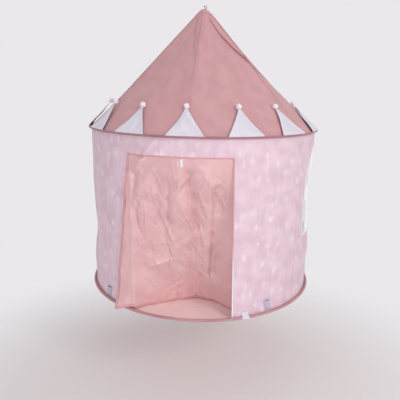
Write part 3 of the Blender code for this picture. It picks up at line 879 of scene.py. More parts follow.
def wallSurface(turn, height):
    level = min(max(height / wallHeight, 0), 1)
    slack = math.sin(math.pi * level)
    fade = 1 - bell(max(abs(turn) - doorHalf, 0), wall["foldFade"])
    fold = wall["foldDepth"] * math.sin(wall["foldCount"] * (turn + wall["foldLean"] * level)) * fade * slack
    beside = (abs(turn) - tent["windowTurn"]) * wallRadius
    above = height - (window["foot"] + window["height"] / 2)
    sag = window["sag"] * bell(beside, window["width"] / 2) * bell(above, window["height"] / 2)
    fromDent = math.hypot((turn - wall["dentTurn"]) * wallRadius, height - wall["dentHeight"])
    dent = wall["dentDepth"] * bell(fromDent, wall["dentWidth"]) * fade
    return wallRadius + fold - sag * slack - dent + wallCreases(turn, height, slack, fade)


# gathers at both hoops, soft crumples all over, and pulls that run down to the left on the right-hand side
def wallCreases(turn, height, slack, fade):
    across = turn * wallRadius
    lean = across + wall["lean"] * height
    ends = bell(height, wall["gatherReach"]) + bell(wallHeight - height, wall["gatherReach"])
    depth, wide, tall = wall["gather"]
    total = depth * ends * ripple(across / wide, height / tall, 11)
    depth, wide, tall = wall["crumple"]
    total += depth * ridges(lean / wide, height / tall, 5) * slack * (0.35 + 0.65 * fade)
    depth, wide, tall = wall["wrinkle"]
    total += depth * (facets(lean / wide, height / tall, 7) - 0.25) * slack
    depth, wide, tall = wall["pull"]
    end, fall = wall["pullEnd"]
    onRight = smoothStep(turn / wall["pullFrom"]) * smoothStep((end - turn) / fall)
    pull = ripple((across - height) / wide, (across + height) / tall, 23)
    return total + depth * pull * onRight * slack * fade


# the cloth to the right of the door runs out towards its foot
def doorSpread(height):
    return wall["doorSpread"] / wallRadius * max(1 - height / doorHeight, 0)


def onWall(turn, height, lift=0.0):
    return onTent(turn, wallSurface(turn, height) + lift, baseZ + height)


def wallPanel(name, start, end, besideDoor):
    foot = cloth["hoopGap"]
    columns = max(2, round((end - start) * wallRadius / wall["columnWidth"]))
    rows = max(2, round((wallHead - foot) / wall["rowHeight"]))

    def place(across, up):
        height = foot + (wallHead - foot) * up
        near = start + (doorSpread(height) if besideDoor else 0)
        return onWall(near + (end - near) * across, height)

    flat = ((end - start) * wallRadius, wallHead - foot)
    return sewPanel(name, columns, rows, place, "wallCloth", flat, (start * wallRadius, foot)), flat


# half the width of the window's arch and the level where its curve springs
def archSizes(margin):
    return window["width"] / 2 + margin, window["foot"] + window["height"] - window["width"] / 2


# an arch over a square foot, as (across, up) from the window's middle
def archOutline(margin):
    half, spring = archSizes(margin)
    points = [(-half, window["foot"] - margin), (half, window["foot"] - margin)]
    for k in range(window["steps"] + 1):
        angle = math.pi * k / window["steps"]
        points.append((half * math.cos(angle), spring + half * math.sin(angle)))
    return points


def inArch(across, up):
    half, spring = archSizes(0)
    if up < spring:
        return abs(across) <= half and up >= window["foot"]
    return math.hypot(across, up - spring) <= half


def cutWindow(panel, turn):
    outline = archOutline(0)
    count = len(outline)
    points = []
    for distance in (-window["reach"], window["reach"]):
        middle = outwards(turn) * (wallRadius + distance)
        points += [middle + sideways(turn) * x + upwards * (baseZ + z) for x, z in outline]
    faces = [list(range(count)), list(range(2 * count - 1, count - 1, -1))]
    faces += [[k, k + count, (k + 1) % count + count, (k + 1) % count] for k in range(count)]
    mesh = bpy.data.meshes.new("windowCutter")
    mesh.from_pydata(points, [], faces)
    cutter = bpy.data.objects.new("windowCutter", mesh)
    bpy.context.collection.objects.link(cutter)
    mendMesh(cutter, merge=False)
    cutter.select_set(False)
    applyModifier(panel, "BOOLEAN", operation="DIFFERENCE", object=cutter, solver="EXACT")
    bpy.data.objects.remove(cutter, do_unlink=True)


# the turn on the wall that lies behind a place on the flat window outline
def turnBehind(middle, across):
    return middle + math.asin(across / wallRadius)


def makeNet(side, turn):
    columns, rows = (round(window[size] / window["cell"]) for size in ("width", "height"))

    def place(across, up):
        x = (across - 0.5) * window["width"]
        return onWall(turnBehind(turn, x), window["foot"] + window["height"] * up)

    net = layGrid(f"window_net_{side}", columns, rows, place, (window["width"], window["height"]))
    bpy.ops.object.mode_set(mode="EDIT")
    bpy.ops.mesh.select_mode(type="FACE")
    bpy.ops.mesh.select_all(action="DESELECT")
    bpy.ops.object.mode_set(mode="OBJECT")
    for polygon in net.data.polygons:
        centre = polygon.center
        polygon.select = not inArch(centre.dot(sideways(turn)), centre.z - baseZ)
    bpy.ops.object.mode_set(mode="EDIT")
    bpy.ops.mesh.delete(type="FACE")
    bpy.ops.object.mode_set(mode="OBJECT")
    applyModifier(net, "WIREFRAME", thickness=window["thread"], use_even_offset=False, use_replace=True)
    return finishPiece(net, "windowNet", 60)


def makeWindow(panel, side, turn):
    cutWindow(panel, turn)
    net = makeNet(side, turn)
    outline = archOutline(window["piping"])
    lengths = [0.0]
    for (x, z), (nextX, nextZ) in zip(outline, outline[1:] + outline[:1]):
        lengths.append(lengths[-1] + math.hypot(nextX - x, nextZ - z))

    def alongArch(share):
        want = (share % 1) * lengths[-1]
        k = max(index for index, length in enumerate(lengths[:-1]) if length <= want)
        part = (want - lengths[k]) / (lengths[k + 1] - lengths[k])
        x, z = outline[k]
        nextX, nextZ = outline[(k + 1) % len(outline)]
        stepX, stepZ = nextX - x, nextZ - z
        there = turnBehind(turn, x + stepX * part)
        across = (sideways(there) * stepZ - upwards * stepX) / math.hypot(stepX, stepZ)
        return onWall(there, z + stepZ * part, cloth["lift"]), across, outwards(there)

    piping = sewTape(
        f"window_binding_{side}", 260, alongArch, window["piping"], window["pipingThick"], "whiteTape"
    )
    dress(piping, "wall", f"window_piping_{side}")
    places = stitchPlaces(alongArch, lengths[-1], window["stitchOffset"], lift=window["stitchLift"])
    row = dress(sewStitches(f"window_stitches_{side}", places, "whiteThread"), "wall")
    dress(net, "wall", f"window_mesh_{side}")


def makeWall():
    foot = cloth["hoopGap"]
    gap = cloth["seamGap"] / wallRadius
    near, far = tent["windowTurn"] - wall["sideHalf"], tent["windowTurn"] + wall["sideHalf"]
    edges = {"front": (doorHalf, near), "side": (near, far), "back": (far, math.pi)}
    panels = {}
    seams = {"back_right": [math.pi]}
    for side, sign in (("right", 1), ("left", -1)):
        for part, (near, far) in edges.items():
            start, end = sorted((sign * near, sign * far))
            panel, flat = wallPanel(f"wall_cloth_{part}_{side}", start + gap, end - gap, start == doorHalf)
            area = flat[0] * flat[1]
            if part == "side":
                makeWindow(panel, side, sign * tent["windowTurn"])
                area -= window["width"] * window["height"] * window["cutShare"]
            dress(panel, "wall", f"wall_{part}_{side}")
            panels[f"{part}_{side}"] = (panel, flat, area)
            if part != "front":
                seams.setdefault(f"{part}_{side}", []).append(sign * near)
    stitches = []
    for name, (panel, flat, area) in panels.items():
        for number, turn in enumerate(seams.get(name, ())):

            def seam(share):
                point = onWall(turn, foot + (wallHead - foot) * share, cloth["lift"])
                return point, sideways(turn), outwards(turn)

            band = sewTape(
                f"wall_seam_{name}_{number + 1}", 90, seam, wall["seamHalf"], wall["seamThick"], "wallCloth"
            )
            dress(band, "wall")
            for offset in (-wall["stitchOffset"], wall["stitchOffset"]):
                stitches += stitchPlaces(seam, wallHead - foot, offset, lift=cloth["stitchLift"])
    dress(sewStitches("wall_stitches", stitches, "whiteThread"), "wall")
    print("wall hung,", len(panels), "panels")


makeWall()


# door: the header over it, the trim round it and, low on its right-hand side, the pale hem whitened with a
# painted highlight
# a crease: from (across, down) to (across, down) from the door's top left, height, width on its left and right
archCrease = ((0.130, -0.075), (0.026, 0.070), 0.018, 0.065, 0.013)
door = {
    "trimWidth": 0.005,
    "trimHalf": 0.0026,
    "trimThick": 0.0007,
    "hemTop": 0.32,
    "hemShift": 0.0005,
    "hemWiden": 1.15,
    "hemLift": 2.4,
    "foldDepth": 0.0035,
    "folds": ((-0.18, 0.09, -0.8), (0.24, 0.12, 0.9), (0.55, 0.1, -0.7)),
    "creaseShare": 0.7,
}


def headerLift(across, up):
    hang = math.sin(math.pi * min(1, 0.15 + up)) * smoothStep(6 * across) * smoothStep(6 * (1 - across))
    lift = sum(sign * bell(2 * across - 1 - place - 0.1 * up, width) for place, width, sign in door["folds"])
    crease = creaseHeight(across * doorWidth, -(wallHeight - doorHeight) * up, *archCrease)
    return (lift * door["foldDepth"] + door["creaseShare"] * crease) * hang


def headerPoint(across, up):
    height = doorHeight + (wallHead - doorHeight) * up
    return onWall(doorHalf * (2 * across - 1), height, headerLift(across, up))


def makeDoor():
    flat = (doorWidth, wallHead - doorHeight)
    corner = (-doorHalf * wallRadius, doorHeight)
    header = sewPanel("header_cloth", 72, 14, headerPoint, "wallCloth", flat, corner)
    dress(header, "eave", "door_header")
    foot = cloth["hoopGap"]
    rise = doorHeight - foot + door["trimWidth"] / 2
    wide = doorWidth + door["trimWidth"]
    over = cloth["lift"] + door["trimThick"]

    def leftPath(share):
        turn = -wide / 2 / wallRadius
        return onWall(turn, foot + rise * share, over), sideways(turn), outwards(turn)

    def rightPath(share):
        height = foot + rise * share
        turn = wide / 2 / wallRadius + doorSpread(height)
        return onWall(turn, height, over), sideways(turn), outwards(turn)

    def topPath(share):
        turn = (share - 0.5) * wide / wallRadius
        lift = over + headerLift(share, 0.05)
        return onWall(turn, doorHeight + door["trimWidth"] / 2, lift), upwards, outwards(turn)

    # the trim beside the door goes on the wall, and the trim over it stays with the header
    trims = []
    for side, path, length, body in (
        ("top", topPath, wide, "eave"), ("left", leftPath, rise, "wall"), ("right", rightPath, rise, "wall")
    ):
        trim = sewTape(f"door_binding_{side}", 130, path, door["trimHalf"], door["trimThick"], "doorTrim")
        row = sewStitches(f"door_stitches_{side}", stitchPlaces(path, length, lift=0.0007), "roseThread")
        trims += [dress(thing, body) for thing in (trim, row)]
    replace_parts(trims[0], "door_trim")

    # the hem's pale turned-in edge low on the door's right, whiter than it is as a painted highlight where the
    # edge catches the light
    def hemPath(share):
        height = foot + door["hemTop"] * share
        turn = (wide / 2 + door["hemShift"]) / wallRadius + doorSpread(height)
        side = sideways(turn) * (0.15 + 0.85 * smoothStep(2 - 2 * share))
        return onWall(turn, height, cloth["lift"] + door["hemLift"] * door["trimThick"]), side, outwards(turn)

    half = door["trimHalf"] * door["hemWiden"]
    dress(sewTape("door_hem_highlight_right", 80, hemPath, half, door["trimThick"], "whiteTape"), "wall")
    print("door trimmed")


makeDoor()


# curtain: sewn along the header, billowing into the tent at its foot, with its left edge over the sill
curtain = {
    "columns": 150,
    "rows": 190,
    "topRows": 18,
    "placeColumns": (4, 18, 2),  # how its width is shared out: over the wall, in the doorway, behind the wall
    "edgeInset": math.radians(0.3),
    "headGap": 0.0003,
    "topLap": 0.006,
    "leftLap": 0.075,
    "rightLap": 0.055,
    "rightRise": 0.076,
    "outsideTrim": 0.0035,
    "insideClear": 0.0022,
    "footClear": 0.0085,
    "footSink": 0.0105,
    "sinkFrom": 0.012,
    "sinkOver": 0.035,
    "cornerFlare": 0.020,
    "cornerDrop": 0.025,
    "foldDepth": 0.011,
    "foldWidth": 0.022,
    "billowPower": 1.3,
    "edgePower": 0.85,
    "foldStart": 0.25,
    "footFold": 0.5,
    "sill": 0.2,
    "sillLift": 0.0065,
    "footShares": (1.0, 0.865, 0.795, 0.74, 0.70, 0.66, 0.63, 0.613, 0.60, 0.595, 0.597, 0.62, 0.65, 0.705),
    "folds": (
        (0.10, 0.9, 0.02),
        (0.28, -0.7, 0.03),
        (0.46, 0.9, 0.00),
        (0.61, -1.0, 0.06),
        (0.80, 0.9, -0.01),
        (0.93, -0.6, 0.02),
    ),
    "creases": (
        archCrease,
        ((0.246, 0.050), (0.254, 0.190), -0.016, 0.018, 0.060),
        ((0.254, 0.190), (0.282, 0.300), -0.016, 0.018, 0.050),
        ((0.364, 0.110), (0.366, 0.520), -0.016, 0.026, 0.080),
        ((0.335, 0.085), (0.420, 0.210), 0.006, 0.012, 0.030),
        ((0.030, 0.045), (0.002, 0.200), -0.008, 0.010, 0.030),
        ((0.002, 0.200), (0.034, 0.330), -0.009, 0.012, 0.030),
        ((0.123, 0.215), (0.172, 0.355), 0.006, 0.014, 0.022),
        ((0.170, 0.100), (0.150, 0.260), -0.006, 0.020, 0.030),
        ((0.363, 0.290), (0.382, 0.345), 0.006, 0.008, 0.016),
        ((0.212, 0.020), (0.222, 0.220), 0.005, 0.030, 0.020),
        ((0.052, 0.340), (0.062, 0.430), -0.005, 0.010, 0.016),
        ((0.060, 0.470), (0.160, 0.440), 0.006, 0.030, 0.016),
        ((0.110, 0.600), (0.200, 0.560), 0.006, 0.022, 0.014),
        ((0.205, 0.330), (0.190, 0.480), -0.005, 0.020, 0.030),
        ((0.300, 0.500), (0.390, 0.560), 0.006, 0.012, 0.024),
    ),
    "smallCreases": 64,
    "seed": 7,
    "smallFrom": (-0.05, 0.02),
    "smallLean": (0.15, 0.5),
    "smallLength": (0.03, 0.13),
    "smallHeight": (0.002, 0.0052),
    "smallWidth": (0.005, 0.016),
    "blendDrop": 0.060,
    "crumpleStart": 0.14,
    "creaseStart": 0.02,
    "warp": (0.4, 0.08, 0.11),
    "crumple": (0.0028, 0.12, 0.16),
    "facets": ((-0.012, 0.115, 0.175), (0.009, 0.056, 0.082), (0.0046, 0.026, 0.034)),
    "hemHalf": 0.006,
    "hemThick": 0.0008,
    "hemLift": 0.0012,
    "footHemLift": 0.0010,
    "headSpare": 0.02,
    "flatSpare": (0.05, 0.03),
    "areaSpare": 0.02,
    "tabPlace": 0.54,
    "tabWidth": 0.010,
    "tabLength": 0.031,
    "tabThick": 0.0009,
    "tabDrop": 0.003,
    "tabLift": 0.0014,
    "tabBulge": 0.0012,
}
leftColumns, plainColumns, rightColumns = curtain["placeColumns"]
allColumns = sum(curtain["placeColumns"])


# the radius at the curtain's foot, on a smooth curve through the listed shares
def footRadius(share):
    shares = curtain["footShares"]
    last = len(shares) - 1
    k = min(int(share * last), last - 1)
    step = share * last - k
    near = [shares[min(max(k + i, 0), last)] for i in (-1, 0, 1, 2)]
    rise = near[2] - near[1]
    bend = (1 - step) * ((near[2] - near[0]) / 2 - rise) - step * ((near[3] - near[1]) / 2 - rise)
    return hoopRadius * (near[1] + rise * step + step * (1 - step) * bend)


def curtainFolds(share, drop):
    total = 0
    for place, depth, lean in curtain["folds"]:
        away = (share - place - lean * drop) * doorWidth
        total += depth * bell(away, curtain["foldWidth"] * (1 + drop))
    hang = smoothStep(drop / curtain["foldStart"]) * (1 - (1 - curtain["footFold"]) * drop)
    return curtain["foldDepth"] * total * hang


# small creases, most of them steep, strewn over the cloth
def strewCreases(draws):
    strewn = []
    left, top = curtain["smallFrom"]
    for _ in range(curtain["smallCreases"]):
        x, y = draws.uniform(left, doorWidth), draws.uniform(top, doorHeight)
        lean = draws.gauss(*curtain["smallLean"])
        length = draws.uniform(*curtain["smallLength"])
        end = (x + length * math.sin(lean), y + length * math.cos(lean))
        height = draws.uniform(*curtain["smallHeight"]) * draws.choice((1, 1, -1))
        widths = draws.uniform(*curtain["smallWidth"]), draws.uniform(*curtain["smallWidth"])
        strewn.append(((x, y), end, height, *widths))
    return strewn


allCreases = list(curtain["creases"]) + strewCreases(random.Random(curtain["seed"]))


# creases of many lengths and directions, as cloth keeps them from its packing
def curtainCrumple(x, drop):
    y = drop * doorHeight
    amount, wide, tall = curtain["warp"]
    warp = amount * ripple(x / wide, y / tall, 31)
    depth, wide, tall = curtain["crumple"]
    total = depth * (ridges(x / wide + warp, y / tall, 2) - 0.4)
    for seed, (depth, wide, tall) in enumerate(curtain["facets"]):
        total += depth * (facets(x / wide + warp, (y + 0.3 * x) / tall - warp, 3.3 * seed + 0.7) - 0.25)
    total *= smoothStep(drop / curtain["crumpleStart"])
    for crease in allCreases:
        total += creaseHeight(x, y, *crease) * smoothStep(y / curtain["creaseStart"])
    return total


def curtainPlain(share, drop):
    plain = wallRadius + (footRadius(share) - wallRadius) * drop ** curtain["billowPower"]
    leftHold = wallRadius + curtain["outsideTrim"]
    rightHold = min(wallRadius - curtain["insideClear"], plain)
    loose = plain + curtainFolds(share, drop) + curtainCrumple(share * doorWidth, drop)
    fromLeft = smoothStep(share * plainColumns)
    fromRight = smoothStep((1 - share) * plainColumns)
    return leftHold * (1 - fromLeft) + rightHold * (1 - fromRight) + loose * (fromLeft + fromRight - 1)


# how far the curtain's left edge laps over the wall
def leftLap(drop):
    return curtain["topLap"] + (curtain["leftLap"] - curtain["topLap"]) * drop ** curtain["edgePower"]


def curtainPoint(across, drop, lift=0.0):
    column = across * allColumns
    share = (column - leftColumns) / plainColumns
    inset = curtain["edgeInset"]
    clamped = min(max(share, 0), 1)
    turn = -doorHalf + inset + 2 * (doorHalf - inset) * clamped
    head = doorHeight - curtain["headGap"]
    sink = smoothStep((clamped - curtain["sinkFrom"]) / curtain["sinkOver"])
    foot = curtain["footClear"] - curtain["footSink"] * sink
    height = head + (foot - head) * drop
    radius = curtainPlain(clamped, drop) + lift
    if share < 0:
        out = 1 - column / leftColumns
        turn -= leftLap(drop) / wallRadius * out
        over = curtain["sillLift"] * smoothStep(1 - (1 - drop) / curtain["sill"]) * smoothStep(out * 4)
        radius += curtain["cornerFlare"] * out * drop**2 + over
        radius += 0.5 * curtainCrumple(-out * 0.08, drop) * smoothStep(2 * out)
        height -= curtain["cornerDrop"] * smoothStep(out) * smoothStep(2 * drop - 1)
    elif share > 1:
        out = (column - leftColumns - plainColumns) / rightColumns
        lap = curtain["topLap"] + (curtain["rightLap"] - curtain["topLap"]) * drop
        turn += lap / wallRadius * out
        radius += curtain["rightRise"] * drop ** curtain["billowPower"] * out
    return onTent(turn, radius, baseZ + height)


# a folded hem down the curtain's left side, and one along its foot
def sideHem(share):
    drop = 0.002 + 0.996 * share
    lap = leftLap(drop)
    across = leftColumns / allColumns * min(1, curtain["hemHalf"] / lap)
    turn = -doorHalf - lap / wallRadius
    return curtainPoint(across, drop, curtain["hemLift"]), sideways(turn), outwards(turn)


def footHem(share):
    step = 0.004
    across = step + 0.99 * share
    drop = 1 - curtain["hemHalf"] / doorHeight
    lift = curtain["footHemLift"]
    point = curtainPoint(across, drop, lift)
    up = (curtainPoint(across, drop - step, lift) - point).normalized()
    ahead = (curtainPoint(min(across + step, 1), drop, lift) - point).normalized()
    return point, up, ahead.cross(up)


def makeCurtain():
    headDrop = curtain["blendDrop"]
    split = headDrop / doorHeight
    width = doorWidth + curtain["topLap"] + curtain["leftLap"]
    drop = doorHeight - headDrop

    def top(across, up):
        return curtainPoint(across, split * (1 - up))

    def bottom(across, up):
        return curtainPoint(across, split + (1 - split) * (1 - up))

    # white tape that ties the curtain up when it is rolled
    def tape(across, up):
        share = curtain["tabPlace"] + (across - 0.5) * curtain["tabWidth"] / doorWidth
        down = (curtain["tabDrop"] + curtain["tabLength"] * (1 - up)) / doorHeight
        column = leftColumns + share * plainColumns
        lift = curtain["tabLift"] + curtain["tabBulge"] * math.sin(math.pi * up)
        return curtainPoint(column / allColumns, down, lift)

    def hemTape(name, steps, path):
        return sewTape(name, steps, path, curtain["hemHalf"], curtain["hemThick"], "doorTrim")

    def holdAtHead(thing):
        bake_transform(thing)
        return thing

    def hangFree(thing):
        dress(thing, "curtain")
        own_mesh(thing)
        return thing

    columns, rows, topRows = curtain["columns"], curtain["rows"], curtain["topRows"]
    flat = (width, headDrop)
    head = holdAtHead(sewPanel("curtain_head", columns, topRows, top, "curtainCloth", flat, (0, drop)))
    sheet = hangFree(sewPanel("curtain_cloth", columns, rows, bottom, "curtainCloth", (width, drop)))
    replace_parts(sheet, "door_curtain")
    topHem = holdAtHead(hemTape("curtain_hem_top", 16, lambda share: sideHem(share * split)))
    leftHem = hangFree(hemTape("curtain_hem_left", 150, lambda share: sideHem(split + (1 - split) * share)))
    lowHem = hangFree(hemTape("curtain_hem_foot", 200, footHem))
    flat = (curtain["tabWidth"], curtain["tabLength"])
    tab = sewPanel("curtain_tape", 6, 14, tape, "whiteTape", flat, thickness=curtain["tabThick"])
    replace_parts(holdAtHead(tab), "curtain_tie_tab")
    print("curtain hung")


makeCurtain()


# pennants: satin flaps up the roof, each with its own small lean and curl, and a pompon at its tip
pennants = {
    "count": 14,
    "turn": math.radians(3.1),
    "width": 0.147,
    "length": 0.136,
    "area": 0.0113,
    "thickness": 0.0011,
    "tipWidth": 0.010,
    "lift": math.radians(1.2),
    "hingeClear": 0.0008,
    "concave": 1.16,
    "raised": {11: 0.006, 12: 0.010},
    "raisedElse": 0.001,
    "raisedPower": 1.6,
    "lean": 0.012,
    "curl": 0.004,
    "wave": 0.0026,
    "settle": 0.008,
    "blendReach": 0.012,
    "seed": 14,
    "columns": 26,
    "rows": 30,
}
pompons = {"radius": 0.0115, "core": 0.78, "spikes": 0.0022, "tufts": ((0.8, 5), (0.4, 12))}
hoopSides = 48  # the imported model's hoops are drawn with so many flat sides


def makePennant(number, draws):
    body = f"pennant_{number + 1:02d}"
    turn = pennants["turn"] + 2 * math.pi * number / pennants["count"]
    slope = math.atan2(roofHeight, wallRadius - roof["crownRadius"]) + pennants["lift"]
    ahead = upwards * math.sin(slope) - outwards(turn) * math.cos(slope)
    out = sideways(turn).cross(ahead)
    lean = math.atan2(wallRadius - roof["crownRadius"], roofHeight)
    reach = bindings["eave"]["radius"] + pennants["hingeClear"]
    side = 2 * math.pi / hoopSides
    corner = hoopRadius * math.cos((turn + side / 2) % side - side / 2)
    hinge = onTent(turn, corner + reach * math.cos(lean), eaveZ + reach * math.sin(lean))
    bend = draws.uniform(-1, 1)
    curl = draws.uniform(0.3, 1)

    def raised(up):
        return pennants["raised"].get(number, pennants["raisedElse"]) * up ** pennants["raisedPower"]

    def place(across, up):
        taper = (1 - up) ** pennants["concave"]
        width = pennants["tipWidth"] + (pennants["width"] - pennants["tipWidth"]) * taper
        x = (across - 0.5) * width + pennants["lean"] * bend * up**2
        rise = pennants["curl"] * curl * math.sin(math.pi * up) * (1 - 0.6 * (2 * across - 1) ** 2)
        wave = pennants["wave"] * ripple(across * 2.2 + number * 3, up * 2.5, 4) * smoothStep(5 * up)
        lift = max(rise, 0) + wave + raised(up) - pennants["settle"] * smoothStep(1.6 * up)
        inwards = x * x / 2 / (wallRadius - pennants["length"] * up * math.cos(slope))
        flat = hinge + ahead * pennants["length"] * up + sideways(turn) * x + out * lift
        return flat - outwards(turn) * inwards

    flat = (pennants["width"], pennants["length"])
    flap = sewPanel(
        f"pennant_satin_{number + 1:02d}", pennants["columns"], pennants["rows"], place, "pennantSatin", flat,
        (number * 0.2, 0), pennants["thickness"],
    )
    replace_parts(flap, body)
    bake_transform(flap)
    radius = pompons["radius"]
    tip = hinge + ahead * (pennants["length"] + radius) + sideways(turn) * pennants["lean"] * bend
    tip += out * (raised(1 + radius / pennants["length"]) - pennants["settle"])
    bpy.ops.mesh.primitive_ico_sphere_add(subdivisions=5, radius=radius * 0.86, location=tip)
    ball = bpy.context.object
    ball.name = f"pompon_yarn_{number + 1:02d}"
    bpy.ops.object.transform_apply(location=True)
    for vertex in ball.data.vertices:
        ray = (vertex.co - tip).normalized()
        tuft = ripple(ray.x * 1.6 + number, ray.y * 1.6, ray.z * 1.6)
        tuft += sum(depth * ridges(*(ray * size)) for depth, size in pompons["tufts"])
        vertex.co = tip + ray * (radius * pompons["core"] + pompons["spikes"] * tuft)
    dress(finishPiece(ball, "pomponYarn", 80), body, f"pompon_{number + 1:02d}")


draws = random.Random(pennants["seed"])
for number in range(pennants["count"]):
    makePennant(number, draws)
print("pennants sewn on,", pennants["count"])


# base: the floor sheet, the pole pockets, the closure tape and a blank care label
floor = {
    "drop": 0.0005,
    "rise": 0.018,
    "spare": 0.0015,
    "crumple": 0.0016,
    "creases": ((1, 0.12, 6), (0.5, 0.05, 8)),  # share, size and seed
}
pockets = {
    "turn": math.radians(42),
    "skew": math.radians(1.7),
    "width": 0.036,
    "height": 0.048,
    "depth": 0.0085,
    "lean": 0.014,
    "clear": 0.0012,
    "footClear": 0.0003,
    "crease": 0.0008,
    "hem": 0.9,
}
closureBulge = 0.0020
label = {
    "turn": math.radians(31.5),
    "width": 0.030,
    "height": 0.027,
    "foot": -0.004,
    "clear": 0.0022,
    "over": 0.0012,
    "bend": (0.012, 0.010),
    "wave": 0.0012,
}


def floorPoint(around, inwards):
    radius = (wallRadius + floor["spare"]) * (1 - inwards)
    low = baseZ - bindings["base"]["radius"] - floor["drop"] + cloth["thickness"] / 2
    rim = baseZ - cloth["hoopGap"] - tent["eaveClear"]
    rise = smoothStep((radius - (wallRadius - floor["rise"])) / floor["rise"])
    point = onTent(2 * math.pi * around, radius, low + (rim - low) * rise)
    creases = (share * ridges(point.x / size, point.y / size, seed) for share, size, seed in floor["creases"])
    return point + upwards * (floor["crumple"] * max(0, sum(creases)) * (1 - rise))


def makeFloor():
    sheet = layGrid("floor_cloth", 220, 72, floorPoint)
    for loop in sheet.data.loops:
        sheet.data.uv_layers.active.data[loop.index].uv = sheet.data.vertices[loop.vertex_index].co.xy
    mendMesh(sheet)
    finishPiece(sheet, "floorCloth", thickness=cloth["thickness"])
    dress(sheet, "base", "floor_sheet")
    makeClosure()


def makePocket(name, turn, lean):
    foot = bindings["base"]["radius"] + pockets["footClear"]
    start = wallRadius + pockets["clear"]
    flat = (pockets["width"], pockets["height"])

    def place(across, up):
        x = (across - 0.5) * pockets["width"] * 0.9 + math.copysign(pockets["lean"], lean) * (0.5 - up)
        bulge = math.sin(math.pi * across) ** 0.7 if 0 < across < 1 else 0
        depth = pockets["depth"] * bulge * (0.25 + 0.75 * smoothStep(1.4 * up)) * smoothStep(6 * up)
        crease = pockets["crease"] * ripple(across * 4, up * 5, turn)
        height = baseZ + foot + pockets["height"] * up
        return onTent(turn + x / wallRadius, start + depth + crease * bulge, height)

    def hem(share):
        return place(0.02 + 0.96 * share, pockets["hem"]), upwards, outwards(turn)

    pocket = sewPanel(name.replace("pole_pocket", "pocket_cloth"), 28, 30, place, "pocketCloth", flat)
    dress(pocket, "base", name)
    places = stitchPlaces(hem, pockets["width"], lift=cloth["stitchLift"])
    row = sewStitches(name + "_stitches", places, "whiteThread", crown["stitch"])
    dress(row, "base")


def makeClosure():
    low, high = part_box("door_closure_tab")
    size = high - low

    def closure(across, up):
        rise = size.z / 2 + closureBulge * math.sin(math.pi * across)
        return low + Vector((size.x * across, size.y * up, rise))

    tape = sewPanel("closure_tape", 20, 6, closure, "whiteTape", (size.x, size.y))
    return dress(tape, "base", "door_closure_tab")


def makeTag():
    flat = (label["width"], label["height"])

    def care(across, up):
        turn = label["turn"] + (across - 0.5) * label["width"] / wallRadius
        height = label["foot"] + label["height"] * up
        hang = wallRadius + label["clear"]
        top, fall = label["bend"]
        over = hoopRadius + bindings["base"]["radius"] + label["over"]
        radius = hang + (over - hang) * smoothStep((top - height) / fall)
        return onTent(turn, radius + label["wave"] * math.sin(5 * across) * up, baseZ + height)

    tag = dress(sewPanel("care_tag", 20, 22, care, "pennantSatin", flat), "base")


makeFloor()
for end, angle, lean in (("front", pockets["turn"], 1), ("back", math.pi - pockets["turn"], -1)):
    for side, sign in (("right", 1), ("left", -1)):
        makePocket(f"pole_pocket_{end}_{side}", sign * angle + pockets["skew"], sign * lean)
makeTag()
print("floor and pockets in place")


# camera, pale ground and soft light
view = {
    "azimuth": math.radians(10.6),
    "distance": 2.2205,
    "height": 0.917,
    "pitch": math.radians(13.8),
    "yaw": math.radians(-0.24),
    "roll": math.radians(1.0),
    "lens": 41.69,
    "sensor": 36,
}
# each lamp has its place, what it aims at, its size and its power
studio = {
    "groundDrop": 0.45,
    "groundAhead": 0.55,
    "ground": ((228, 223, 222), (232, 227, 227)),
    "groundMottle": 0.8,
    "groundReach": 6.0,
    "groundFade": (0.7, 1.8),
    "backdrop": (234, 232, 235),
    "ambient": (0.98, 0.97, 1.0),
    "ambientStrength": 0.66,
    "lamps": {
        "key": ((2.5, -2.3, 0.7), (0, 0, -0.8), 1.1, 37),
        "front": ((0.2, -3.4, -0.6), (0, 0, -0.9), 2.0, 22),
        "top": ((0.2, 0.4, 2.2), (0, 0, -0.6), 2.4, 7),
    },
}


def placeCamera():
    turn = view["azimuth"]
    place = onTent(turn, view["distance"], baseZ + view["height"])
    bpy.ops.object.camera_add(location=place)
    camera = bpy.context.object
    heading = Matrix.Rotation(turn - view["yaw"], 4, "Z")
    tilt = Matrix.Rotation(math.pi / 2 - view["pitch"], 4, "X")
    roll = Matrix.Rotation(view["roll"], 4, "Z")
    camera.matrix_world = Matrix.Translation(place) @ heading @ tilt @ roll
    camera.data.lens = view["lens"]
    camera.data.sensor_width = view["sensor"]
    bpy.context.scene.camera = camera


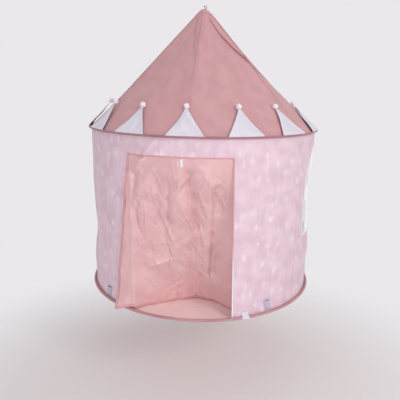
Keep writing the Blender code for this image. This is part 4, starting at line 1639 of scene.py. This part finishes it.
def layGround():
    ahead = onTent(view["azimuth"], studio["groundAhead"], baseZ - studio["groundDrop"])
    bpy.ops.mesh.primitive_plane_add(size=studio["groundReach"], location=ahead)
    ground = bpy.context.object
    ground.name = "ground"
    paint, tree, shader, where = newFinish("paleGround")
    mottle = noiseOf(tree, where, studio["groundMottle"], 3.0)
    pale = mixColours(tree, mottle, *(colourOf(*colour) for colour in studio["ground"]))
    setSockets(tree, shader, Base_Color=pale, Roughness=0.8)
    away = addNode(tree, "ShaderNodeVectorMath", {"operation": "LENGTH"}, Vector=where).outputs["Value"]
    gone = spread(tree, away, *studio["groundFade"])
    clear = addNode(tree, "ShaderNodeBsdfTransparent").outputs[0]
    faded = inOrder(tree, "ShaderNodeMixShader", {}, gone, shader.outputs[0], clear)
    setSockets(tree, tree.nodes["Material Output"], Surface=faded)
    ground.data.materials.append(paint)


# the room's light and the backdrop that is seen, which also shows in reflections
def lightRoom():
    world = bpy.data.worlds.new("paleRoom")
    bpy.context.scene.world = world
    world.use_nodes = True
    tree = world.node_tree
    tree.nodes.clear()
    light = addNode(
        tree, "ShaderNodeBackground", Color=(*studio["ambient"], 1), Strength=studio["ambientStrength"]
    )
    seen = addNode(tree, "ShaderNodeBackground", Color=colourOf(*studio["backdrop"]), Strength=1.0)
    path = addNode(tree, "ShaderNodeLightPath").outputs
    reflected = addMath(tree, "MAXIMUM", path["Is Glossy Ray"], path["Is Transmission Ray"])
    shown = addMath(tree, "MAXIMUM", reflected, path["Is Camera Ray"])
    room = inOrder(tree, "ShaderNodeMixShader", {}, shown, light.outputs[0], seen.outputs[0])
    addNode(tree, "ShaderNodeOutputWorld", Surface=room)


def lightStudio():
    for name, (place, aim, size, power) in studio["lamps"].items():
        bpy.ops.object.light_add(type="AREA", location=place)
        lamp = bpy.context.object
        lamp.name = name
        lamp.data.shape = "DISK"
        lamp.data.size = size
        lamp.data.energy = power
        lamp.rotation_euler = (Vector(aim) - Vector(place)).to_track_quat("-Z", "Y").to_euler()
    bpy.context.scene.view_settings.view_transform = "Standard"


placeCamera()
layGround()
lightRoom()
lightStudio()
print("camera and light set")
